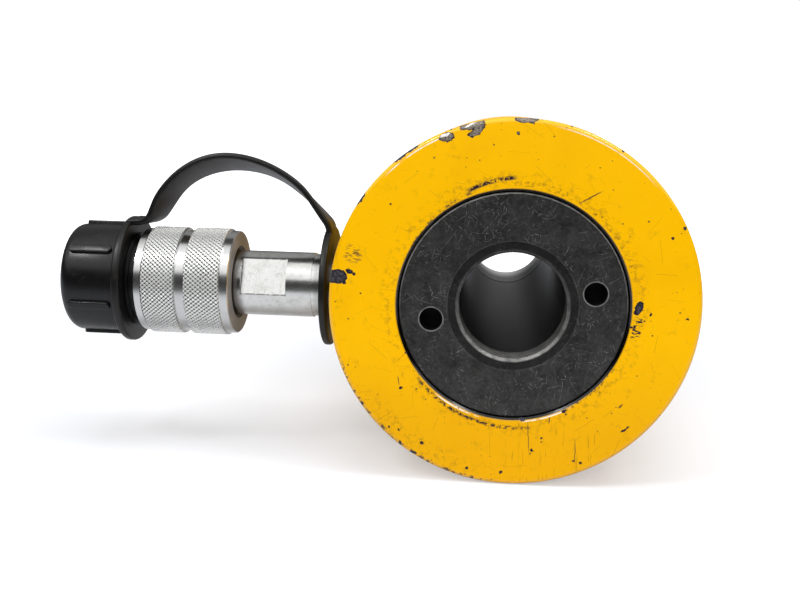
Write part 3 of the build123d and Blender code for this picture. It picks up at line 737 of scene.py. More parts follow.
@dataclass(frozen=True)
class YellowPaint(Finish):
    """Glossy yellow paint over a dark primer, chipped to the steel in places."""

    upper: Colour = tone(254, 191, 0)
    # Painted shade: the paint's colour low on the face, where less light falls.
    lower: Colour = tone(238, 175, 2)
    cloudy: Colour = tone(229, 163, 3)
    # Colour of the real stains, and of the painted shade on the opening's chamfer.
    stain: Colour = tone(140, 98, 26)
    dragged: Colour = tone(120, 80, 20)
    primer: Colour = tone(20, 22, 46)
    scored: Colour = tone(78, 52, 44)
    steel: Colour = tone(84, 80, 88)
    dull_steel: Colour = tone(40, 40, 44)
    worn_steel: Colour = tone(158, 146, 132)
    # Painted highlight colours: glints on chip steel, and gleams on the face's edges.
    glint: Colour = tone(250, 248, 244)
    gleam: Colour = tone(255, 250, 236)
    # Painted shadow: near black in the gap inside the opening.
    gap: Colour = tone(4, 4, 4)
    cut_steel: Colour = tone(46, 44, 42)
    opening: float = 36.25
    rim: float = 55.9
    gap_depth: float = 12.0
    collar: Span = (127.0, 168.9)
    collar_reach: Span = (54.0, 56.9)
    face_scratches: Scratches = Scratches(7.0, 5.0, 0.06, 0.75, 0.02)
    side_scratches: Scratches = Scratches(15.0, 10.0, 0.08, 0.7, 0.03)
    face_specks: Specks = Specks(3.6, 0.36, 0.2)
    fine_specks: Specks = Specks(1.7, 0.22, 0.42)
    side_specks: Specks = Specks(9.0, 0.6, 0.22)

    def build(self) -> bpy.types.Material:
        """Paint, chips on the base face and over its edge, specks and scratches all round."""
        graph = MaterialGraph("yellow_paint")
        at = BarrelPlace(graph)
        uneven = graph.jostled(graph.jostled(at.face, 1.7, 0.75), 0.42, 0.26)
        chip, bare = self._chips(graph, at, uneven)
        score = nearest(graph, graph.jostled(at.face, 2.5, 0.3), FACE_SCORES).fall(-0.05, 0.1) * at.on_face
        dark = chip.greater(self._worn(graph, at) * at.on_face).greater(self._specks(graph, at))
        scratch = (self.face_scratches.on(graph, at.face) * at.on_face
                   + self.side_scratches.on(graph, at.side) * (1 - at.on_face))
        colour = graph.mix(dark, self._paint(graph, at, scratch), self.primer)
        colour = graph.mix(score * 0.85, colour, self.scored)
        colour = graph.mix(bare, colour, self._bare_steel(graph, at, uneven))
        # Painted highlights on the face's round edges.
        colour = graph.mix(self._gleams(graph, at) * (1 - dark) * 0.95, colour, self.gleam)
        orange_peel = graph.noise(at.place, 1.8, detail=1.0) * 0.006
        height = orange_peel - dark * 0.09 - scratch * 0.012 - score * 0.03
        edge = at.radius.rise(self.rim - 0.15, self.rim + 0.1)
        edge = edge.greater(at.radius.fall(self.opening, self.opening + 0.1)) * at.y.fall(2.4, 3.0)
        roughness = graph.blend(graph.noise(at.place, 9.0), 0.32, 0.46) + dark * 0.2 - edge * 0.24
        return graph.surface(colour, roughness, metallic=bare * 0.3, height=height,
                             Specular_IOR_Level=graph.blend(edge, 0.1, 0.7))

    def _chips(self, graph: Graph, at: BarrelPlace, uneven: object) -> tuple[Field, Field]:
        """Where the paint is off, and where that goes down to the steel inside a border of primer.

        Args:
            graph: the graph.
            at: the coordinates.
            uneven: the face's coordinates moved about, for ragged outlines.

        Returns:
            Both masks.
        """
        edge = nearest(graph, uneven, FACE_CHIPS).lesser(nearest_nick(graph, uneven, FACE_NICKS))
        near_face = (at.y + graph.noise(at.place, 1.5) * 2.0).fall(2.6, 3.2)
        border = graph.noise(at.place, 1.3) * graph.blend(at.z.rise(44.0, 50.0), 0.8, 0.4)
        return edge.fall(-0.06, 0.08) * near_face, (edge + border).fall(-0.1, 0.1) * near_face

    def _specks(self, graph: Graph, at: BarrelPlace) -> Field:
        """Dark specks: a few on the face, fine ones low on it, and sparse ones on the side."""
        fine = self.fine_specks.on(graph, graph.moved(at.face, 40.0, 9.0))
        fine = fine * Patches(9.0, 0.5, 0.62, detail=2.0).on(graph, at.face) * at.z.fall(-30.0, 20.0)
        few = self.face_specks.on(graph, at.face).greater(fine * 0.8) * at.on_face
        return few.greater(self.side_specks.on(graph, at.side) * (1 - at.on_face))

    def _worn(self, graph: Graph, at: BarrelPlace) -> Field:
        """Dark flecks in the paint round the opening, where a tool has slipped, and along the outer edge."""
        speckle = graph.noise(at.place, 1.3, detail=5.0, rough=0.75)
        slipped = graph.node("ShaderNodeMapping")
        graph.put(slipped.inputs["Vector"], at.face)
        slipped.inputs["Rotation"].default_value = (0.0, 0.0, HATCH_TURN)
        slipped.inputs["Scale"].default_value = HATCH_STRETCH
        hatching = Patches(0.8, 0.5, 0.56).on(graph, slipped.outputs[0])
        outer = Patches(1.6, 0.53, 0.58, 4.0, 0.7).on(graph, graph.moved(at.place, 5.0, 0.0, 9.0))
        worn = RIM_WEAR.mask(at.radius, at.angle) * outer
        for part in FACE_FLECKS:
            flecks = speckle.rise(part.low, part.high) * part.strength
            worn = worn + part.zone.mask(at.radius, at.angle) * flecks
        for zone, strength in HATCHED:
            worn = worn + zone.mask(at.radius, at.angle) * hatching * strength
        return worn.lesser(1.0)

    def _paint(self, graph: Graph, at: BarrelPlace, scratch: Field) -> Socket:
        """The paint's colour, darker towards the bottom of the face as a painted shade, with its stains, a
        painted shade on the opening's chamfer, and what shows in place of it in the gap, a painted shadow,
        and on the collar.

        Args:
            graph: the graph.
            at: the coordinates.
            scratch: the mask of the scratches.

        Returns:
            The colour.
        """
        # Painted shade: the paint darkens towards the bottom of the face.
        paint = graph.mix(at.z.rise(-45.0, -5.0), self.lower, self.upper)
        paint = graph.mix(Patches(22.0, 0.45, 0.8, 4.0).on(graph, at.place) * 0.3, paint, self.cloudy)
        # Painted shade on the opening's chamfer, joined below with the real stains, dirt and scratches in one
        # mask.
        stain_and_shade = at.radius.fall(self.opening, self.opening + 0.2) * 0.45
        for stain in FACE_STAINS:
            spot = graph.jostled(at.face, *stain.jostle) if stain.jostle else at.face
            mask = stain.zone.mask(at.radius, at.angle) * stain.patches.on(graph, spot)
            stain_and_shade = stain_and_shade.greater(mask * stain.strength)
        dirt = Patches(5.0, 0.56, 0.7, 6.0, 0.75).on(graph, graph.moved(at.place, 7.0, 0.0, 3.0))
        stain_and_shade = (stain_and_shade * at.on_face).greater(scratch * 0.55).greater(dirt * 0.3)
        paint = graph.mix(stain_and_shade, paint, self.stain)
        drag = Patches(0.6, 0.6, 0.68).on(graph, graph.join(at.x, at.z * 0.08, at.y))
        drag = drag * at.z.fall(-40.0, -34.0) * at.x.between(0.0, 30.0, 4.0)
        paint = graph.mix(drag * at.on_face * 0.45, paint, self.dragged)
        # Painted shadow: the wall inside the opening near black, down to the gap's depth.
        gap = at.radius.fall(self.opening - 0.25, self.opening - 0.1)
        paint = graph.mix(gap * at.y.fall(self.gap_depth - 1, self.gap_depth), paint, self.gap)
        cut = at.y.between(*self.collar, 0.05) * at.radius.between(*self.collar_reach, 0.2)
        return graph.mix(cut, paint, self.cut_steel)

    def _bare_steel(self, graph: Graph, at: BarrelPlace, uneven: object) -> Socket:
        """The steel in the chips, warmer and brighter at the upper edge as a painted highlight, with painted
        glints.
        """
        steel = graph.mix(Patches(0.8, 0.35, 0.65, 4.0).on(graph, at.place), self.dull_steel, self.steel)
        # Painted highlight: chip steel brighter at the upper edge, where light falls on it.
        worn = at.z.rise(44.0, 52.0) * Patches(0.5, 0.3, 0.6).on(graph, at.face)
        steel = graph.mix(worn, steel, self.worn_steel)
        return graph.mix(nearest(graph, uneven, FACE_GLINTS).fall(-0.1, 0.15), steel, self.glint)

    def _gleams(self, graph: Graph, at: BarrelPlace) -> Field:
        """Painted highlights: bright broken lines on the two round edges of the face."""
        lines = reduce(Field.greater, (
            at.angle.between(gleam.start, gleam.end, gleam.fade) * gleam.strength
            * at.radius.off(gleam.radius).fall(0.1, gleam.reach) for gleam in FACE_GLEAMS))
        return lines * Patches(3.0, 0.32, 0.5).on(graph, at.place) * at.on_face


@dataclass(frozen=True)
class BlackOxide(Finish):
    """Blackened steel, cloudy and finely scratched, with bright edges that are partly wear and partly a
    painted highlight.
    """

    name: str
    rings: tuple[Ring, ...]
    pin_holes: tuple[Oval, ...] = ()
    hub: float = 0.0
    dark: Colour = tone(33, 33, 33)
    light: Colour = tone(78, 78, 77)
    worn: Colour = tone(190, 189, 186)
    hub_shade: Colour = tone(18, 18, 18)
    hole_shade: Colour = tone(2, 2, 2)
    fine: Scratches = Scratches(2.7, 2.3, 0.04, 0.75, 0.05)
    coarse: Scratches = Scratches(7.5, 6.5, 0.05, 0.85, 0.03)
    short: Scratches = Scratches(1.5, 1.1, 0.06, 0.7, 0.12)
    cluster: Point = (-9.0, 28.0, 0.0)

    def build(self) -> bpy.types.Material:
        """Blackened surface with scratches in three sizes, bright lines at its holes and rings that are
        partly wear and partly painted highlight, and painted shade in its holes.
        """
        graph = MaterialGraph(self.name)
        at = BarrelPlace(graph)
        clouds = graph.noise(at.place, 8.0, detail=8.0, rough=0.8)
        grain = graph.noise(at.face, 1.1, detail=6.0, rough=0.8)
        scratch = self._scratches(graph, at)
        mottle = clouds.rise(0.34, 0.66) * 0.55 + grain.rise(0.35, 0.68) * 0.45
        colour = graph.mix(mottle, self.dark, self.light)
        if self.hub:
            uneven = graph.jostled(at.face, 4.5, 1.1)
            inner = graph.distance(uneven).fall(self.hub - 0.5, self.hub + 0.5)
            colour = graph.mix(inner * 0.65, colour, self.hub_shade)
            scratch = scratch * (1 - inner * 0.6)
        colour = graph.mix(scratch * graph.blend(grain.rise(0.4, 0.6), 0.3, 0.65), colour, self.worn)
        # Bright rings, partly worn edges and partly painted highlight, stronger low or high on the face where
        # light falls.
        bright = reduce(Field.greater, (
            at.radius.off(ring.radius).fall(ring.reach * 0.4, ring.reach) * ring.strength
            * graph.blend(at.z.rise(-12.0, 12.0), ring.low, ring.high) for ring in self.rings))
        if self.pin_holes:
            edge = nearest(graph, at.face, self.pin_holes)
            bright = bright.greater(edge.between(-0.1, 0.2, 0.1) * 0.7)
        bright = bright * graph.blend(Patches(2.6, 0.36, 0.62, 4.0).on(graph, at.place), 0.5, 1.0)
        colour = graph.mix(bright * 0.85, colour, self.worn)
        if self.pin_holes:
            # Painted shade: the pin holes near black below their rims.
            sunk = edge.fall(-0.25, -0.1) * at.y.rise(0.5, 1.0)
            colour = graph.mix(sunk * 0.9, colour, self.hole_shade)
        height = graph.noise(at.place, 0.6, detail=2.0) * 0.006 - scratch * 0.012
        return graph.surface(colour, graph.blend(clouds, 0.36, 0.52), metallic=0.55, height=height)

    def _scratches(self, graph: Graph, at: BarrelPlace) -> Field:
        """Scratches in three sizes, the small ones thickest in patches and in one cluster."""
        busy = Patches(9.0, 0.42, 0.62).on(graph, graph.moved(at.face, 5.0))
        busy = busy.greater(graph.distance(at.face, self.cluster).fall(6.0, 12.0))
        fine = self.fine.on(graph, at.face) * graph.blend(busy, 0.35, 1.0)
        coarse = self.coarse.on(graph, graph.moved(at.face, 31.0, 17.0)) * 0.6
        return fine.greater(coarse).greater(self.short.on(graph, graph.moved(at.face, -13.0, 43.0)) * busy)


@dataclass
class Skin:
    """A metal surface while its finish is put together."""

    graph: Graph
    x: Field
    y: Field
    z: Field
    clouds: Field
    scratch: Field
    colour: object
    roughness: Field
    metallic: object


@dataclass(frozen=True)
class TurnedMetal(Finish):
    """Machined metal with faint turning marks and handling stains."""

    name: str
    colour: Colour
    stain: Colour
    roughness: float = 0.28
    metallic: float = 1.0
    marks: float = 0.004
    lie: Lie = Lie.BARREL
    handled: Colour = tone(70, 68, 66)
    scratches: Scratches = Scratches(5.0, 3.0, 0.05, 0.4, 0.04)

    def build(self) -> bpy.types.Material:
        """Metal whose marks run round its own axis."""
        graph = MaterialGraph(self.name)
        x, y, z = graph.split(graph.place)
        along, out = (y, x) if self.lie is Lie.BARREL else (x, y)
        marks = graph.noise(graph.join(along * 6.0, out * 0.25, z * 0.25), 1.0)
        clouds = graph.noise(graph.place, 5.0, detail=5.0, rough=0.6)
        way = Way.ROUND_BARREL if self.lie is Lie.BARREL else Way.ROUND_PORT
        skin = Skin(graph, x, y, z, clouds, self.scratches.on(graph, graph.flat(way)),
                    graph.mix(clouds.rise(0.42, 0.75) * 0.35, self.colour, self.stain),
                    graph.blend(clouds, self.roughness - 0.06, self.roughness + 0.08), self.metallic)
        self.add_scratches(skin)
        skin.colour = graph.mix(skin.scratch * 0.3, skin.colour, self.handled)
        self.dress(skin)
        return graph.surface(skin.colour, skin.roughness, metallic=skin.metallic,
                             height=marks * self.marks - skin.scratch * 0.008)

    def add_scratches(self, skin: Skin) -> None:
        """Adds scratches that only this metal has."""

    def dress(self, skin: Skin) -> None:
        """Adds what only this metal shows."""


@dataclass(frozen=True)
class NippleZinc(TurnedMetal):
    """Zinc plate of the nipple: a scratched spanner flat with a painted shade round its outline, a painted
    shade towards the sleeve, and darker towards the barrel.
    """

    flat_out: float = 9.0
    flat_span: Span = (73.9, 89.0)
    flat_half: float = 6.06
    flat_turn: float = math.radians(23.0)
    flat_scratches: Scratches = Scratches(2.2, 2.2, 0.07, 0.85, 0.02)
    flat_edge: Colour = tone(60, 56, 50)
    shaded_span: Span = (SLEEVE_START - 3.4, SLEEVE_START - 1.2)
    worn_span: Span = (63.2, 64.6)
    # Colour of the painted shade near the sleeve and of the darker barrel end.
    shade: Colour = tone(74, 70, 66)

    def _lift(self, skin: Skin) -> Field:
        """How far a point is from the plane of the front flat."""
        out = skin.z * math.sin(self.flat_turn) - (skin.y - PORT_HEIGHT) * math.cos(self.flat_turn)
        return out.off(self.flat_out)

    def add_scratches(self, skin: Skin) -> None:
        """Dense scratches on the front flat."""
        across = self.flat_scratches.on(skin.graph, skin.graph.flat(Way.FACE))
        skin.scratch = skin.scratch.greater(across * self._lift(skin).fall(0.03, 0.08))

    def dress(self, skin: Skin) -> None:
        """Paints shade along the flat's outline, blotches it, paints shade near the sleeve, and darkens the
        end towards the barrel.
        """
        graph = skin.graph
        place = graph.place
        start, finish = self.flat_span
        end = skin.x.off(-start).lesser(skin.x.off(-finish))
        across = skin.z * math.cos(self.flat_turn) + (skin.y - PORT_HEIGHT) * math.sin(self.flat_turn)
        # Painted shade along the flat's outline, mixed with real blotches into one colour.
        border = end.fall(0.08, 0.3).greater(across.off(0.0).off(self.flat_half).fall(0.08, 0.35))
        border = border * self._lift(skin).fall(0.1, 0.4) * Patches(1.2, 0.3, 0.5).on(graph, place)
        border = border * skin.x.between(-finish - 0.2, -start + 0.2, 0.05)
        blotch = Patches(1.6, 0.5, 0.72, 6.0, 0.8).on(graph, place)
        colour = graph.mix((border * 0.7).greater(blotch * 0.3), skin.colour, self.flat_edge)
        along = skin.x * -1.0
        # Painted shade and reflection of the sleeve's dark end near the sleeve, and darker towards the barrel
        # end.
        shaded = (along + skin.clouds * 1.5).rise(*self.shaded_span)
        shaded = shaded.greater((along - skin.clouds * 1.6).fall(*self.worn_span) * 0.5)
        skin.colour = graph.mix(shaded * 0.55, colour, self.shade)


@dataclass(frozen=True)
class SleeveZinc(TurnedMetal):
    """Zinc plate of the sleeve, with a knurl painted lighter as a sheen, painted shade in its grooves, and a
    dull end with a mouth in painted shade.
    """

    face_shade: Colour = tone(140, 134, 128)
    knurl_shade: Colour = tone(250, 251, 249)
    # Colour of the painted shade in the knurl's grooves and the sleeve's mouth.
    dirt: Colour = tone(38, 37, 36)
    valley: Span = (SLEEVE_RADIUS - 0.46, SLEEVE_RADIUS - 0.28)
    pit: Span = (0.6, 0.86)
    mouth: Span = (12.05, 12.3)

    def dress(self, skin: Skin) -> None:
        """Paints a sheen on the knurl, paints shade in its grooves, most where they cross, and in the mouth,
        and dulls the end.
        """
        graph = skin.graph
        along = skin.x * -1.0
        around = graph.math("ARCTAN2", skin.z, skin.y - PORT_HEIGHT) * (KNURL_COUNT / FULL_TURN)
        face = skin.x.rise(-SLEEVE_START - 0.12, -SLEEVE_START - 0.04)
        bands = []
        pits = []
        for start, end in KNURL_ZONES:
            bands.append(along.between(start - 0.05, end + 0.05, 0.1))
            turns = (along - start) * (KNURL_ROWS / (end - start))
            cross = graph.math("COSINE", (around + turns) * math.pi)
            cross = cross * graph.math("COSINE", (around - turns) * math.pi)
            pits.append(bands[-1] * cross.off(0.0).rise(*self.pit))
        knurled = reduce(Field.__add__, bands)
        out = graph.reach(skin.y - PORT_HEIGHT, skin.z)
        # Painted shade in the knurl's grooves, most where they cross, and in the sleeve's mouth.
        grooves = (knurled * out.fall(*self.valley) * 0.45).greater(reduce(Field.__add__, pits) * 0.92)
        mouth = out.fall(*self.mouth) * skin.x.rise(-SLEEVE_START - 1.2, -SLEEVE_START - 1.0)
        colour = graph.mix(face * 0.85, skin.colour, self.face_shade)
        # Painted sheen: the knurl a lighter copy of the zinc beside it.
        colour = graph.mix(knurled, colour, self.knurl_shade)
        skin.colour = graph.mix(grooves.greater(mouth * 0.85), colour, self.dirt)
        skin.roughness = skin.roughness + face * 0.3 + mouth * 0.2 + knurled * 0.04
        skin.metallic = self.metallic - face * 0.7 - knurled * 0.42


@dataclass(frozen=True)
class BoredMetal(TurnedMetal):
    """Metal with a through hole whose wall grows lighter towards its far end, a painted light from the far
    opening.
    """

    bore: float = 17.2
    bore_roughness: float = 0.34
    lit: Span = (158.0, 176.0)
    polished: Colour = tone(250, 250, 250)

    def dress(self, skin: Skin) -> None:
        """Gives the wall of the hole its own roughness and a colour that grows lighter towards the far end, a
        painted light.
        """
        graph = skin.graph
        in_bore = graph.reach(skin.x, skin.z).fall(self.bore, self.bore + 0.3)
        # Painted light: the bore's wall lighter towards the far opening.
        wall = graph.mix(skin.y.rise(*self.lit), self.colour, self.polished)
        skin.colour = graph.mix(in_bore, skin.colour, wall)
        skin.roughness = graph.blend(in_bore, self.roughness, self.bore_roughness)
        skin.metallic = graph.blend(in_bore, self.metallic, 1.0)


@dataclass(frozen=True)
class Moulding(Finish):
    """Black moulded plastic or rubber with a fine grain, scuffed in places."""

    name: str
    colour: Colour
    scuffed: Colour
    roughness: float
    grain: float
    scuffs: float = 0.3
    way: Way = Way.ROUND_BARREL
    scratches: Scratches = Scratches(4.0, 2.6, 0.07, 0.55, 0.08)

    def build(self) -> bpy.types.Material:
        """Plastic with a grain, clouds and light scuffs."""
        graph = MaterialGraph(self.name)
        place = graph.place
        scratch = self.scratches.on(graph, graph.flat(self.way))
        scuff = Patches(3.5, 0.56, 0.72, 6.0, 0.7).on(graph, graph.moved(place, 9.0, 3.0, 5.0)) * self.scuffs
        colour = graph.mix(scuff.greater(scratch * self.scuffs) * 0.5, self.colour, self.scuffed)
        height = graph.noise(place, 0.35, detail=2.0) * self.grain - scratch * 0.01
        clouds = graph.noise(place, 6.0, detail=5.0)
        roughness = graph.blend(clouds, self.roughness - 0.05, self.roughness + 0.1) + scuff * 0.2
        return graph.surface(colour, roughness, height=height)


YELLOW = YellowPaint()
# The bore's chamfer ring is a painted highlight strongest low on the face; the outer edge ring is strongest
# high.
INSERT_OXIDE = BlackOxide("black_oxide_insert", hub=20.2, rings=(
    Ring(20.2, 0.3, 0.12), Ring(17.05, 0.8, 0.6, high=0.3), Ring(34.8, 0.25, low=0.1),
), pin_holes=(Oval(-25.03, -4.87, 3.75, 3.75), Oval(25.03, 4.87, 3.75, 3.75)))
NUT_OXIDE = BlackOxide("black_oxide_nut", rings=(Ring(45.6, 0.3), Ring(32.4, 0.3)))
ZINC = NippleZinc("zinc_plate", tone(242, 243, 240), tone(196, 190, 182), roughness=0.22, marks=0.005,
                  lie=Lie.PORT)
SLEEVE_ZINC = SleeveZinc("zinc_plate_sleeve", tone(230, 231, 230), tone(206, 203, 198), roughness=0.22,
                         marks=0.002, lie=Lie.PORT)
STEEL = TurnedMetal("bare_steel", tone(96, 96, 98), tone(60, 58, 56), roughness=0.3)
TUBE_STEEL = BoredMetal("bare_steel_tube", tone(34, 32, 31), tone(26, 25, 24), roughness=0.42, marks=0.002,
                        bore_roughness=0.42, lit=(115.0, 168.0), polished=tone(84, 82, 80))
VALVE_STEEL = TurnedMetal("bare_steel_valve", tone(176, 176, 178), tone(126, 122, 118), lie=Lie.PORT)
CHROME = TurnedMetal("hard_chrome", tone(206, 208, 212), tone(186, 188, 190), roughness=0.14, marks=0.0015)
PHOSPHATE = BoredMetal("phosphate_saddle", tone(40, 40, 42), tone(60, 58, 56), roughness=0.55, metallic=0.4)
SPRING = TurnedMetal("spring_steel", tone(96, 96, 102), tone(64, 60, 60), roughness=0.36)
VALVE_SPRING = TurnedMetal("spring_steel_valve", tone(150, 150, 154), tone(96, 92, 90), lie=Lie.PORT)
BRONZE = TurnedMetal("bronze", tone(178, 134, 78), tone(128, 92, 52), roughness=0.34)
URETHANE = Moulding("seal_polyurethane", tone(38, 74, 104), tone(86, 116, 140), 0.42, 0.004)
RUBBER = Moulding("seal_rubber", tone(22, 22, 22), tone(60, 60, 60), 0.5, 0.004)
BACKUP = Moulding("backup_plastic", tone(214, 206, 188), tone(182, 172, 152), 0.5, 0.004, 0.4)
CAP_PLASTIC = Moulding("cap_plastic", tone(11, 11, 12), tone(60, 60, 62), 0.26, 0.012, way=Way.ROUND_PORT)
STRAP_PLASTIC = Moulding("strap_plastic", tone(12, 11, 11), tone(62, 58, 55), 0.34, 0.01, way=Way.ROUND_PORT)


class Shape:
    """Builds one mesh with mesh operators and publishes it as a finished piece."""

    def __init__(self) -> None:
        self.mesh = bmesh.new()

    def point(self, along: float, out: float, lie: Lie) -> Vector:
        """A point of an outline: so far along the axis, and so far out of it."""
        if lie is Lie.BARREL:
            return Vector((out, along, 0)) * MM
        return Vector((-along, PORT_HEIGHT, out)) * MM

    def chain(self, points: list[Vector], closed: bool) -> list[bmesh.types.BMVert]:
        """A run of edges through points, drawn out from the first one."""
        run = [bmesh.ops.create_vert(self.mesh, co=points[0])["vert"][0]]
        for point in points[1:]:
            tip = bmesh.ops.extrude_vert_indiv(self.mesh, verts=[run[-1]])["verts"][0]
            bmesh.ops.translate(self.mesh, verts=[tip], vec=point - tip.co)
            run.append(tip)
        if closed:
            bmesh.ops.contextual_create(self.mesh, geom=[run[-1], run[0]])
        return run

    def turned(self, outline: Outline, lie: Lie, steps: int, closed: bool = True) -> "Shape":
        """A full turning of an outline.

        Args:
            outline: corners as (along, out) in millimetres.
            lie: the line it is turned about.
            steps: number of faces round it.
            closed: whether the last corner joins the first.

        Returns:
            The shape itself.
        """
        run = self.chain([self.point(along, out, lie) for along, out in outline], closed)
        edges = {edge for vert in run for edge in vert.link_edges}
        axis = (0, 1, 0) if lie is Lie.BARREL else (1, 0, 0)
        bmesh.ops.spin(self.mesh, geom=[*run, *edges], cent=self.point(0, 0, lie), axis=axis,
                       angle=FULL_TURN, steps=steps, use_merge=True)
        return self

    def coil(self, corners: list[Vector], lie: Lie, turns: float, rise: float, steps: int) -> "Shape":
        """A section carried round an axis while it moves along it.

        Args:
            corners: corners of the section, in millimetres.
            lie: the axis.
            turns: number of turns.
            rise: the way along the axis in all, in millimetres.
            steps: faces in each turn.

        Returns:
            The shape itself.
        """
        run = self.chain([corner * MM for corner in corners], closed=True)
        first = bmesh.ops.contextual_create(self.mesh, geom=run)["faces"]
        axis = Vector((0, 1, 0)) if lie is Lie.BARREL else Vector((-1, 0, 0))
        count = round(turns * steps)
        bmesh.ops.spin(self.mesh, geom=[*run, *first[0].edges, *first], cent=self.point(0, 0, lie), axis=axis,
                       dvec=axis * (rise * MM / count), angle=FULL_TURN * turns, steps=count)
        return self

    def merge(self, node: bpy.types.Object) -> "Shape":
        """Takes a copy of a frame node's mesh, with its loose triangles joined."""
        self.mesh.from_mesh(node.data)
        bmesh.ops.remove_doubles(self.mesh, verts=self.mesh.verts, dist=CLOSE)
        bmesh.ops.dissolve_degenerate(self.mesh, edges=self.mesh.edges, dist=CLOSE / 10)
        return self

    def publish(self, name: str, finish: Finish, body: Body | None, slot: str, replaced: tuple[str, ...],
                sharp: float = 30.0, bevel: float = 0.0) -> bpy.types.Object:
        """Closes the mesh and makes it a piece of the model.

        Args:
            name: the piece's name.
            finish: its finish.
            body: the body that it rides on, or None to leave it on no body.
            slot: the material slot of the record; not used.
            replaced: frame nodes that it stands for.
            sharp: angle in degrees above which an edge stays sharp.
            bevel: width in millimetres by which sharp edges are broken.

        Returns:
            The piece.
        """
        mesh = self.mesh
        bmesh.ops.remove_doubles(mesh, verts=mesh.verts, dist=CLOSE / 10)
        bmesh.ops.recalc_face_normals(mesh, faces=mesh.faces)
        for face in mesh.faces:
            face.smooth = True
        for edge in mesh.edges:
            edge.smooth = edge.calc_face_angle(0.0) < math.radians(sharp)
        data = bpy.data.meshes.new(name)
        mesh.to_mesh(data)
        mesh.free()
        piece = placed(name, data)
        data.materials.append(finish.material())
        if bevel:
            edges = piece.modifiers.new("broken_edges", "BEVEL")
            edges.width = bevel * MM
            edges.segments = 2
            edges.limit_method = "ANGLE"
            edges.angle_limit = math.radians(sharp)
            edges.harden_normals = True
        if body is not None:
            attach(piece, body.value)
        if replaced:
            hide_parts(*replaced)
        LOG.info("%s: %d faces", name, len(data.polygons))
        return piece


def arc(centre: tuple[float, float], radius: float, start: float, end: float, steps: int) -> Outline:
    """Corners of a round part of an outline.

    Args:
        centre: its centre as (along, out).
        radius: its radius.
        start, end: angles in degrees from the along direction towards the out direction.
        steps: number of edges.

    Returns:
        The corners.
    """
    corners = []
    for index in range(steps + 1):
        angle = math.radians(start + (end - start) * index / steps)
        corners.append((centre[0] + radius * math.cos(angle), centre[1] + radius * math.sin(angle)))
    return corners


@dataclass
class Barrel:
    """The painted barrel with its opening, its edge radius and its threaded collar.

    The thread's ridge sinks a little into the collar, keeps a gap from turn to turn, and stops short of
    the end.
    """

    radius: float = BARREL_RADIUS
    length: float = 169.0
    edge_radius: float = 1.3
    opening: float = 35.45
    chamfer: float = 0.8
    seat_depth: float = 14.0
    seat_radius: float = 33.05
    base: float = 22.0
    bore: float = 44.45
    pocket: float = 46.05
    pocket_depth: float = 22.0
    thread_length: float = 42.0
    crest_drop: float = 1.15
    thread_depth: float = 1.2
    thread_pitch: float = 2.1
    crest_width: float = 0.6
    thread_sink: float = 0.1
    thread_gap: float = 0.02
    thread_stop: float = 0.8
    relief_width: float = 3.0
    relief_depth: float = 2.5
    end_chamfer: float = 1.5
    steps: int = 192
    thread_steps: int = 96

    def outline(self) -> Outline:
        """The barrel's half section."""
        collar = self.length - self.thread_length
        relief = self.radius - self.relief_depth
        root = self.radius - self.crest_drop - self.thread_depth
        pocket = self.length - self.pocket_depth
        edge = arc((self.edge_radius, self.radius - self.edge_radius), self.edge_radius, 180, 90, 6)
        return [
            (0, self.opening + self.chamfer), *edge,
            (collar - self.relief_width, self.radius), (collar - self.relief_width, relief),
            (collar, relief), (collar, root), (self.length, root), (self.length, self.pocket),
            (pocket, self.pocket), (pocket, self.bore), (self.base, self.bore), (self.base, self.seat_radius),
            (self.seat_depth, self.seat_radius), (self.seat_depth, self.opening),
            (self.chamfer, self.opening),
        ]

    def build(self) -> None:
        """Turns the barrel and winds the thread on its collar."""
        shape = Shape().turned(self.outline(), Lie.BARREL, self.steps)
        shape.publish("barrel", YELLOW, Body.CYLINDER, "yellow_paint", ("cylinder_body",), bevel=0.12)
        self._thread()

    def _thread(self) -> None:
        """The thread's ridge, wound round the collar and run out at its end chamfer."""
        collar = self.length - self.thread_length
        crest = self.radius - self.crest_drop
        root = crest - self.thread_depth - self.thread_sink
        flank = (self.thread_pitch - self.crest_width) / 2 - self.thread_gap
        corners = [Vector((root, collar, 0)), Vector((crest, collar + flank, 0)),
                   Vector((crest, collar + flank + self.crest_width, 0)),
                   Vector((root, collar + 2 * flank + self.crest_width, 0))]
        turns = math.floor((self.thread_length - self.thread_stop) / self.thread_pitch) - 1
        shape = Shape().coil(corners, Lie.BARREL, turns, turns * self.thread_pitch, self.thread_steps)
        start = (self.length - self.end_chamfer) * MM
        for vert in shape.mesh.verts:
            limit = crest * MM - max(0.0, vert.co.y - start)
            out = math.hypot(vert.co.x, vert.co.z)
            if out > limit:
                vert.co.x *= limit / out
                vert.co.z *= limit / out
        shape.publish("collar_thread", STEEL, Body.CYLINDER, "yellow_paint", ())


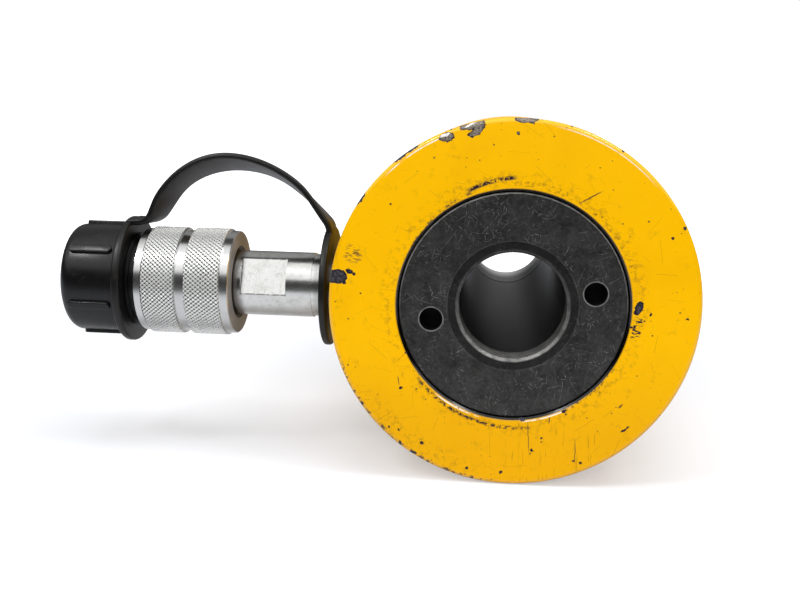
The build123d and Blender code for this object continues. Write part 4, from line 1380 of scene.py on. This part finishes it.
@dataclass
class Sleeve:
    """The union sleeve with its two knurled bands. The retainer's groove is a start, an end and a radius."""

    start: float = SLEEVE_START
    length: float = 31.7
    radius: float = SLEEVE_RADIUS
    end_radius: float = 17.3
    rear_band: float = 2.7
    rear_knurl: float = 12.3
    groove: float = 2.7
    groove_depth: float = 1.0
    front_band: float = 2.5
    edge: float = 0.35
    thread_radius: float = 15.0
    lip: float = 4.2
    lip_radius: float = 11.15
    lip_chamfer: float = 0.9
    bore: float = 14.5
    retainer: Point = (101.3, 102.96, 15.1)
    retainer_wall: float = 1.5
    knurl_depth: float = 0.5
    knurl_flank: float = 0.4

    def _zone(self, start: float, end: float) -> Outline:
        """The stations of a knurled zone."""
        out = self.radius - self.knurl_depth
        return [(start + (end - start) * index / KNURL_ROWS, out) for index in range(KNURL_ROWS + 1)]

    def build(self) -> None:
        """Turns the sleeve and raises its knurl."""
        end = self.start + self.length
        rear = self.start + self.rear_band
        groove = rear + self.rear_knurl
        groove_end = groove + self.groove
        front = end - self.front_band
        edge = self.edge
        rear_zone = self._zone(rear + edge, groove - edge)
        front_zone = self._zone(groove_end + edge, front - edge)
        retainer_start, retainer_end, retainer_radius = self.retainer
        wall_end = retainer_end + self.retainer_wall
        outline = [
            (self.start, self.lip_radius + self.lip_chamfer), (self.start, self.end_radius - edge),
            (self.start + edge, self.end_radius), (rear, self.end_radius),
            *rear_zone,
            (groove, self.radius - self.groove_depth), (groove_end, self.radius - self.groove_depth),
            *front_zone,
            (front, self.end_radius), (end - edge, self.end_radius), (end, self.end_radius - edge),
            (end, self.thread_radius + edge), (end - edge, self.thread_radius),
            (wall_end, self.thread_radius), (wall_end, self.bore),
            (retainer_end, self.bore), (retainer_end, retainer_radius),
            (retainer_start, retainer_radius), (retainer_start, self.bore),
            (self.start + self.lip, self.bore), (self.start + self.lip, self.lip_radius),
            (self.start + self.lip_chamfer, self.lip_radius),
        ]
        shape = Shape().turned(outline, Lie.PORT, KNURL_COUNT)
        for zone in (rear_zone, front_zone):
            self._knurl(shape.mesh, zone[0][0], zone[-1][0])
        shape.publish("knurled_sleeve", SLEEVE_ZINC, Body.SLEEVE, "zinc_plate", ("coupler_sleeve",), sharp=20)

    def _knurl(self, mesh: bmesh.types.BMesh, start: float, end: float) -> None:
        """Turns the plain faces of a zone into raised diamonds.

        Args:
            mesh: the sleeve's mesh.
            start, end: the zone, along the axis.
        """
        root = (self.radius - self.knurl_depth) * MM
        low, high = start * MM - CLOSE, end * MM + CLOSE
        middle = PORT_HEIGHT * MM

        def inside(vert: bmesh.types.BMVert) -> bool:
            out = math.hypot(vert.co.y - middle, vert.co.z)
            return low <= -vert.co.x <= high and abs(out - root) < CLOSE * 10

        faces = [face for face in mesh.faces if all(inside(vert) for vert in face.verts)]
        zone = set(faces)
        edges = {edge for face in faces for edge in face.edges
                 if all(other in zone for other in edge.link_faces)}
        bmesh.ops.recalc_face_normals(mesh, faces=mesh.faces)
        poked = bmesh.ops.poke(mesh, faces=faces)
        before = set(mesh.faces) - set(poked["faces"])
        bmesh.ops.dissolve_edges(mesh, edges=[edge for edge in edges if edge.is_valid], use_verts=False)
        diamonds = [face for face in mesh.faces if face not in before]
        bmesh.ops.inset_individual(mesh, faces=diamonds, thickness=self.knurl_flank * MM,
                                   depth=self.knurl_depth * MM)


@dataclass
class DustCap:
    """The ribbed cap in the sleeve's mouth.

    The bead is a start, an end and a radius. A rib is a length, a width and a height.
    """

    start: float = 129.3
    length: float = 18.8
    radius: float = 18.1
    edge_radius: float = 3.5
    rim_radius: float = 0.6
    wall: float = 2.6
    skirt_end: float = 113.0
    skirt_radius: float = 14.7
    skirt_wall: float = 3.2
    bead: Point = (125.34, 126.34, 15.6)
    rib_count: int = 6
    rib: Point = (14.4, 2.8, 1.15)
    rib_inset: float = 1.4
    rib_root: float = 6.0
    rib_corner: float = 1.3
    rib_edge: float = 0.4
    rib_angle: float = 39.0
    steps: int = 96

    def build(self) -> None:
        """Turns the cap and sets the ribs on it."""
        end = self.start + self.length
        hollow = self.skirt_radius - self.skirt_wall
        bead_start, bead_end, bead_radius = self.bead
        crown = arc((end - self.edge_radius, self.radius - self.edge_radius), self.edge_radius, 90, 0, 8)
        rim = arc((self.start + self.rim_radius, self.radius - self.rim_radius), self.rim_radius, 180, 90, 3)
        outline = [
            (self.skirt_end, hollow), (self.skirt_end, self.skirt_radius), (bead_start, self.skirt_radius),
            (bead_start, bead_radius), (bead_end, bead_radius), (bead_end, self.skirt_radius),
            (self.start, self.skirt_radius), *rim, *crown, (end, 0), (end - self.wall, 0),
            (end - self.wall, hollow),
        ]
        shape = Shape().turned(outline, Lie.PORT, self.steps)
        for index in range(self.rib_count):
            self._rib(shape.mesh, 90 - self.rib_angle + 360 * index / self.rib_count)
        shape.publish("ribbed_cap", CAP_PLASTIC, Body.CAP, "cap_plastic", ("dust_cap",), sharp=35)

    def _rib(self, mesh: bmesh.types.BMesh, degrees: float) -> None:
        """One rib, made as a rounded bar and turned to its place."""
        length, width, height = self.rib
        middle = self.start + self.rib_inset + length / 2
        up = self.radius + height - self.rib_root / 2
        size = Matrix.Diagonal((length * MM, width * MM, self.rib_root * MM, 1))
        verts = bmesh.ops.create_cube(mesh, size=1.0, matrix=size)["verts"]
        upright = {edge for vert in verts for edge in vert.link_edges
                   if abs(edge.verts[0].co.z - edge.verts[1].co.z) > CLOSE}
        self._round(mesh, list(upright), self.rib_corner, 4)
        crest = self.rib_root * MM / 2 - CLOSE
        top = [edge for edge in self._bar(mesh) if all(vert.co.z > crest for vert in edge.verts)]
        self._round(mesh, top, self.rib_edge, 3)
        verts = list({vert for edge in self._bar(mesh) for vert in edge.verts})
        bmesh.ops.translate(mesh, verts=verts, vec=Vector((-middle, PORT_HEIGHT, up)) * MM)
        bmesh.ops.rotate(mesh, verts=verts, cent=(0, PORT_HEIGHT * MM, 0),
                         matrix=Matrix.Rotation(math.radians(degrees), 3, "X"))

    def _round(self, mesh: bmesh.types.BMesh, edges: list[bmesh.types.BMEdge], radius: float,
               segments: int) -> None:
        """Rounds edges of the bar."""
        bmesh.ops.bevel(mesh, geom=edges, offset=radius * MM, offset_type="OFFSET", segments=segments,
                        profile=0.5, affect="EDGES", material=-1)

    def _bar(self, mesh: bmesh.types.BMesh) -> list[bmesh.types.BMEdge]:
        """The edges of the bar that still lies at the origin."""
        reach = self.rib[0] * MM
        return [edge for edge in mesh.edges if all(vert.co.length < reach for vert in edge.verts)]


@dataclass
class Station:
    """A place on the strap's middle line: where, which way it runs, and how far it is twisted."""

    x: float
    z: float
    slope: float
    twist: float


@dataclass
class CapStrap:
    """The strap from the cap to the nipple, with a ring at each end.

    A ring is given as its start, its end, its inner and its outer radius. Between its start and its finish
    the strap has a straight root, a bend up, a straight rise, a crown, a fall and a bend on to the nipple's
    ring. The twists are pairs of a share of the way and degrees.
    """

    width: float = 14.0
    thickness: float = 2.0
    corner: float = 0.7
    cap_ring: tuple[float, float, float, float] = (126.64, 129.14, 15.0, 21.2)
    nipple_ring: tuple[float, float, float, float] = (59.2, 61.6, 8.85, 20.0)
    ring_edge: float = 0.7
    ring_steps: int = 72
    start: Span = (-127.89, 19.8)
    finish: Span = (-60.4, 18.0)
    root_straight: float = 3.6
    root_radius: float = 5.6
    rise: float = 61.3
    crown_radius: float = 27.0
    fall_radius: float = 35.0
    fall: float = 49.8
    landing_radius: float = 6.1
    twists: tuple[Span, ...] = ((0.0, 0.0), (0.2, 13.4), (0.45, 21.3), (0.75, 15.2), (1.0, 2.0))

    def stations(self) -> list[Station]:
        """The middle line, sampled along its straights and arcs."""
        rise, fall = math.radians(self.rise), math.radians(self.fall)
        crown = self.crown_radius
        root = self.root_radius
        x = self.start[0] + self.root_straight + root * math.sin(rise)
        z = self.start[1] + root * (1 - math.cos(rise))
        left_x = self.finish[0] - x - crown * math.sin(rise) - self.fall_radius * math.sin(fall)
        left_x -= self.landing_radius * (1 - math.sin(fall))
        left_z = self.finish[1] - z - crown * (1 - math.cos(rise)) + self.fall_radius * (1 - math.cos(fall))
        left_z += self.landing_radius * math.cos(fall)
        cross = math.sin(rise + fall)
        rise_length = (left_x * math.sin(fall) + left_z * math.cos(fall)) / cross
        fall_length = (left_x * math.sin(rise) - left_z * math.cos(rise)) / cross
        landing = math.pi / 2 - fall
        # Each run is its length, the angle it bends by and its number of steps.
        runs = [(self.root_straight, 0.0, 1), (root * rise, rise, 10), (rise_length, 0.0, 3),
                (crown * rise, -rise, 24), (self.fall_radius * fall, -fall, 22), (fall_length, 0.0, 3),
                (self.landing_radius * landing, -landing, 8)]
        total = sum(length for length, _, _ in runs)
        x, z, slope, gone = *self.start, 0.0, 0.0
        found = [Station(x, z, slope, self._twist(0.0))]
        for length, bend, steps in runs:
            for _ in range(steps):
                step = length / steps
                slope += bend / steps / 2
                x += step * math.cos(slope)
                z += step * math.sin(slope)
                slope += bend / steps / 2
                gone += step
                found.append(Station(x, z, slope, self._twist(gone / total)))
        return found

    def _twist(self, share: float) -> float:
        """Twist in radians at a share of the way."""
        for (start, low), (end, high) in zip(self.twists, self.twists[1:]):
            if share <= end:
                part = (share - start) / (end - start)
                part = part * part * (3 - 2 * part)
                return math.radians(low + (high - low) * part)
        return math.radians(self.twists[-1][1])

    def _frame(self, station: Station) -> Matrix:
        """The place and turn of the section at a station."""
        move = Matrix.Translation(Vector((station.x, PORT_HEIGHT, station.z)) * MM)
        return move @ Matrix.Rotation(-station.slope, 4, "Y") @ Matrix.Rotation(-station.twist, 4, "X")

    def build(self) -> None:
        """Carries the section along the line and adds the rings."""
        shape = Shape()
        mesh = shape.mesh
        first, *others = self.stations()
        size = Matrix.Diagonal((self.thickness * MM, self.width * MM, 1, 1))
        made = bmesh.ops.create_grid(mesh, x_segments=1, y_segments=1, size=0.5,
                                     matrix=Matrix.Rotation(math.pi / 2, 4, "Y") @ size)["verts"]
        bmesh.ops.bevel(mesh, geom=made, offset=self.corner * MM, offset_type="OFFSET", segments=4,
                        profile=0.5, affect="VERTICES", material=-1)
        front = list(mesh.faces)
        frame = self._frame(first)
        bmesh.ops.transform(mesh, verts=front[0].verts[:], matrix=frame)
        for station in others:
            after = self._frame(station)
            grown = bmesh.ops.extrude_face_region(mesh, geom=front, use_keep_orig=station is others[0])
            front = [item for item in grown["geom"] if isinstance(item, bmesh.types.BMFace)]
            bmesh.ops.transform(mesh, verts=front[0].verts[:], matrix=after @ frame.inverted())
            frame = after
        edge = self.ring_edge
        for start, end, inner, outer in (self.cap_ring, self.nipple_ring):
            low = arc((start + edge, outer - edge), edge, 180, 90, 4)
            high = arc((end - edge, outer - edge), edge, 90, 0, 4)
            shape.turned([(start, inner), *low, *high, (end, inner)], Lie.PORT, self.ring_steps)
        piece = shape.publish("strap_and_rings", STRAP_PLASTIC, None, "strap_plastic", ("cap_strap",),
                              sharp=40)
        self.finish[0] * MM - 0.002
        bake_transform(piece)


@dataclass
class Springs:
    """The return spring of the plunger and the spring of the valve."""

    coil_radius: float = 38.1
    wire: Span = (6.4, 6.0)
    wire_corner: float = 0.8
    span: Span = (53.0, 147.0)
    end_gap: float = 0.3
    turns: float = 4.5
    steps: int = 72
    valve_radius: float = 4.3
    valve_wire: float = 1.0
    valve_sides: int = 10
    valve_span: Span = (86.58, 100.91)
    valve_turns: float = 5.0
    valve_steps: int = 36

    def build(self) -> None:
        """Winds both springs."""
        height, width = self.wire
        first, last = self.span[0] + self.end_gap, self.span[1] - self.end_gap
        corners = self._rounded(height / 2, width / 2, self.wire_corner)
        middle = first + height / 2
        section = [Vector((self.coil_radius + out, middle + along, 0)) for along, out in corners]
        rise = last - first - height
        piece = Shape().coil(section, Lie.BARREL, self.turns, rise, self.steps).publish(
            "flat_wire_spring", SPRING, Body.CYLINDER, "spring_steel", ("return_spring",))
        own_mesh(piece)
        half = self.valve_wire / 2
        first, last = self.valve_span
        angles = (FULL_TURN * index / self.valve_sides for index in range(self.valve_sides))
        ring = [(half * math.cos(angle), half * math.sin(angle)) for angle in angles]
        section = [Vector((-(first + half + along), PORT_HEIGHT, self.valve_radius + out))
                   for along, out in ring]
        rise = last - first - self.valve_wire
        piece = Shape().coil(section, Lie.PORT, self.valve_turns, rise, self.valve_steps).publish(
            "valve_spring", VALVE_SPRING, Body.CYLINDER, "spring_steel", ("poppet_spring",))
        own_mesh(piece)

    def _rounded(self, along: float, out: float, corner: float) -> Outline:
        """A rectangle with rounded corners about the origin."""
        corners = []
        for start, (side, up) in zip((0, 90, 180, 270), ((1, 1), (-1, 1), (-1, -1), (1, -1))):
            middle = (side * (along - corner), up * (out - corner))
            corners += arc(middle, corner, start, start + 90, 3)
        return corners


@dataclass(frozen=True)
class Carried:
    """A frame node that is shown with its own shape, as it is or as a smooth copy."""

    node: str
    finish: Finish
    slot: str
    body: Body
    copied: bool = False


CARRIED = (
    Carried("base_insert", INSERT_OXIDE, "black_oxide", Body.CYLINDER, True),
    Carried("gland_nut", NUT_OXIDE, "black_oxide", Body.CYLINDER, True),
    Carried("centre_tube", TUBE_STEEL, "bare_steel", Body.CYLINDER, True),
    Carried("plunger", CHROME, "hard_chrome", Body.PLUNGER, True),
    Carried("saddle", PHOSPHATE, "phosphate", Body.PLUNGER, True),
    Carried("coupler_body", ZINC, "zinc_plate", Body.CYLINDER, True),
    Carried("coupler_socket", ZINC, "zinc_plate", Body.CYLINDER, True),
    Carried("poppet", VALVE_STEEL, "bare_steel", Body.POPPET, True),
    Carried("poppet_guide", VALVE_STEEL, "bare_steel", Body.CYLINDER),
    Carried("sleeve_retainer", VALVE_SPRING, "spring_steel", Body.SLEEVE),
    Carried("piston_bearing", BRONZE, "bronze", Body.PLUNGER),
    Carried("tube_bearing", BRONZE, "bronze", Body.PLUNGER),
    Carried("rod_bearing", BRONZE, "bronze", Body.CYLINDER),
    Carried("piston_seal", URETHANE, "seal_polyurethane", Body.PLUNGER),
    Carried("tube_seal", URETHANE, "seal_polyurethane", Body.PLUNGER),
    Carried("rod_wiper", URETHANE, "seal_polyurethane", Body.CYLINDER, True),
    Carried("insert_o_ring", RUBBER, "seal_rubber", Body.CYLINDER),
    Carried("tube_o_ring", RUBBER, "seal_rubber", Body.CYLINDER),
    Carried("socket_o_ring", RUBBER, "seal_rubber", Body.CYLINDER),
    Carried("poppet_seal", RUBBER, "seal_rubber", Body.POPPET),
    Carried("piston_backup_ring", BACKUP, "backup_plastic", Body.PLUNGER),
    Carried("tube_backup_ring", BACKUP, "backup_plastic", Body.PLUNGER),
)


class Machined:
    """The pieces that keep the frame's own shapes."""

    def __init__(self, nodes: dict[str, bpy.types.Object]) -> None:
        self.nodes = nodes

    def build(self) -> None:
        """Gives each node its finish, or stands a smooth copy in its place."""
        for item in CARRIED:
            node = self.nodes[item.node]
            if item.copied:
                Shape().merge(node).publish(f"{item.node}_smooth", item.finish, item.body, item.slot,
                                            (item.node,), sharp=25)
            else:
                node.data.materials.clear()
                node.data.materials.append(item.finish.material())
                LOG.info("%s: frame node", item.node)


@dataclass(frozen=True)
class Floor:
    """A pale floor that shows white to the camera where no shadow falls.

    Its size is in metres. The fades, in millimetres, are where its near part darkens and where the shadow
    ends.
    """

    height: float = -BARREL_RADIUS
    gap: float = 0.2
    size: float = 12.0
    near_fade: Span = (-230.0, -70.0)
    shade_fade: Span = (260.0, 572.0)
    glow: float = 0.42
    colour: Colour = tone(196, 198, 203)
    near_colour: Colour = tone(60, 60, 60)

    def build(self) -> None:
        """Lays the floor."""
        mesh = bmesh.new()
        bmesh.ops.create_grid(mesh, x_segments=1, y_segments=1, size=self.size / 2)
        data = bpy.data.meshes.new("floor")
        mesh.to_mesh(data)
        mesh.free()
        data.materials.append(self._material())
        floor = placed("floor", data)
        floor.location = (0, 0, (self.height - self.gap) * MM)

    def _material(self) -> bpy.types.Material:
        """A dull surface with a glow that only the camera sees."""
        graph = MaterialGraph("floor")
        x, y, _ = graph.split(graph.place)
        near = y.fall(*self.near_fade)
        away = graph.reach(x, y).rise(*self.shade_fade)
        dull = graph.node("ShaderNodeBsdfDiffuse")
        graph.put(dull.inputs["Color"], graph.mix(near, self.colour, self.near_colour))
        glow = graph.node("ShaderNodeEmission")
        level = graph.blend(away.greater(near), self.glow, 1.0)
        graph.put(glow.inputs["Strength"], graph.camera_ray() * level)
        both = graph.node("ShaderNodeAddShader")
        graph.put(both.inputs[0], dull.outputs[0])
        graph.put(both.inputs[1], glow.outputs[0])
        graph.put(graph.node("ShaderNodeOutputMaterial").inputs["Surface"], both.outputs[0])
        return graph.material


@dataclass(frozen=True)
class Room:
    """The world: white for the camera; for the rest a room, dark behind the camera and pale elsewhere.

    Its parts are spans of the three numbers of a direction. Its glows are levels.
    """

    beyond: Span = (-0.1, 0.3)
    softbox: Span = (0.4, 0.87)
    ceiling: Span = (0.8, 0.92)
    ceiling_glow: Span = (0.9, 0.55)
    least_glow: float = 0.03
    wall: Span = (0.2, 0.6)
    wall_glow: Span = (0.1, 0.28)
    window_across: Span = (-0.12, 0.2)
    window_up: Span = (0.0, 0.6)
    window_glow: float = 0.4
    soft: float = 0.04

    def build(self) -> None:
        """Makes the world."""
        world = bpy.data.worlds.new("studio")
        bpy.context.scene.world = world
        world.use_nodes = True
        graph = Graph(world.node_tree)
        x, y, z = graph.split(graph.node("ShaderNodeTexCoord").outputs["Generated"])
        beyond = y.rise(*self.beyond)
        softbox = z.between(*self.softbox, self.soft) * (1 - beyond)
        ceiling = z.rise(*self.ceiling) * graph.blend(beyond, *self.ceiling_glow)
        wall = beyond * graph.blend(z.rise(*self.wall), *self.wall_glow)
        window = x.between(*self.window_across, self.soft) * z.between(*self.window_up, self.soft)
        room = softbox.greater(ceiling).greater(self.least_glow).greater(wall)
        room = room.greater(window * beyond * self.window_glow)
        back = graph.node("ShaderNodeBackground")
        graph.put(back.inputs["Color"], (1.0, 1.0, 1.0))
        graph.put(back.inputs["Strength"], room.greater(graph.camera_ray()))
        graph.put(graph.node("ShaderNodeOutputWorld").inputs["Surface"], back.outputs[0])


@dataclass(frozen=True)
class Lamp:
    """A square soft lamp: place, side and aim in metres, power in watts, and whether metal mirrors it."""

    name: str
    place: Point
    size: float
    power: float
    mirrored: bool = True
    aim: Point = (0.0, 0.05, 0.0)

    def build(self) -> None:
        """Hangs the lamp."""
        data = bpy.data.lights.new(self.name, "AREA")
        data.shape = "SQUARE"
        data.size = self.size
        data.energy = self.power
        lamp = placed(self.name, data)
        lamp.location = self.place
        ahead = Vector(self.aim) - Vector(self.place)
        lamp.rotation_euler = ahead.to_track_quat("-Z", "Y").to_euler()
        lamp.visible_glossy = self.mirrored


@dataclass(frozen=True)
class Camera:
    """The camera that took the photo, as found from the round outlines in it.

    Its place and its sensor are in millimetres, its angles in degrees, its focal length and the image's width
    in pixels. What is nearer than its nearest distance, in millimetres, is left out.
    """

    place: Point = (-8.22, -307.65, 58.25)
    yaw: float = 4.919
    pitch: float = 10.534
    roll: float = 1.33
    focal: float = 1015.9
    image_width: float = 800.0
    sensor: float = 36.0
    nearest: float = 10.0

    def build(self) -> None:
        """Sets the camera up."""
        yaw, pitch, roll = (math.radians(value) for value in (self.yaw, self.pitch, self.roll))
        ahead = Vector((-math.sin(yaw) * math.cos(pitch), math.cos(yaw) * math.cos(pitch), -math.sin(pitch)))
        right = Vector((math.cos(yaw), math.sin(yaw), 0))
        up = right.cross(ahead)
        across = math.cos(roll) * right + math.sin(roll) * up
        upright = -math.sin(roll) * right + math.cos(roll) * up
        data = bpy.data.cameras.new("camera")
        data.sensor_width = self.sensor
        data.lens = self.focal * self.sensor / self.image_width
        data.clip_start = self.nearest * MM
        camera = placed("camera", data)
        turn = Matrix((across, upright, -ahead)).transposed().to_4x4()
        camera.matrix_world = Matrix.Translation(Vector(self.place) * MM) @ turn
        bpy.context.scene.camera = camera
        bpy.context.scene.view_settings.view_transform = "Standard"


@dataclass
class Studio:
    """Floor, world, lamps and camera."""

    parts: tuple[Floor | Room | Lamp | Camera, ...] = (
        Floor(), Room(),
        Lamp("key", (-0.62, -0.55, 1.05), 0.25, 3.2),
        Lamp("right", (0.62, -0.18, 1.1), 0.3, 3.0),
        Lamp("top", (0.05, -0.15, 1.4), 0.9, 7.0, mirrored=False),
        Lamp("front", (0.0, -1.5, 0.55), 1.0, 11.0, mirrored=False),
        Camera(),
    )

    def build(self) -> None:
        """Sets up each part."""
        for part in self.parts:
            part.build()


def main() -> None:
    """Loads the frame, builds every group of pieces in order, and sets up the studio."""
    logging.basicConfig(level=logging.INFO, format="%(name)s: %(message)s")
    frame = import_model()
    Masks().build()
    for group in (Barrel(), Sleeve(), DustCap(), CapStrap(), Springs(), Machined(frame["nodes"]), Studio()):
        group.build()
        LOG.info("%s done", type(group).__name__)


if __name__ == "__main__":
    main()
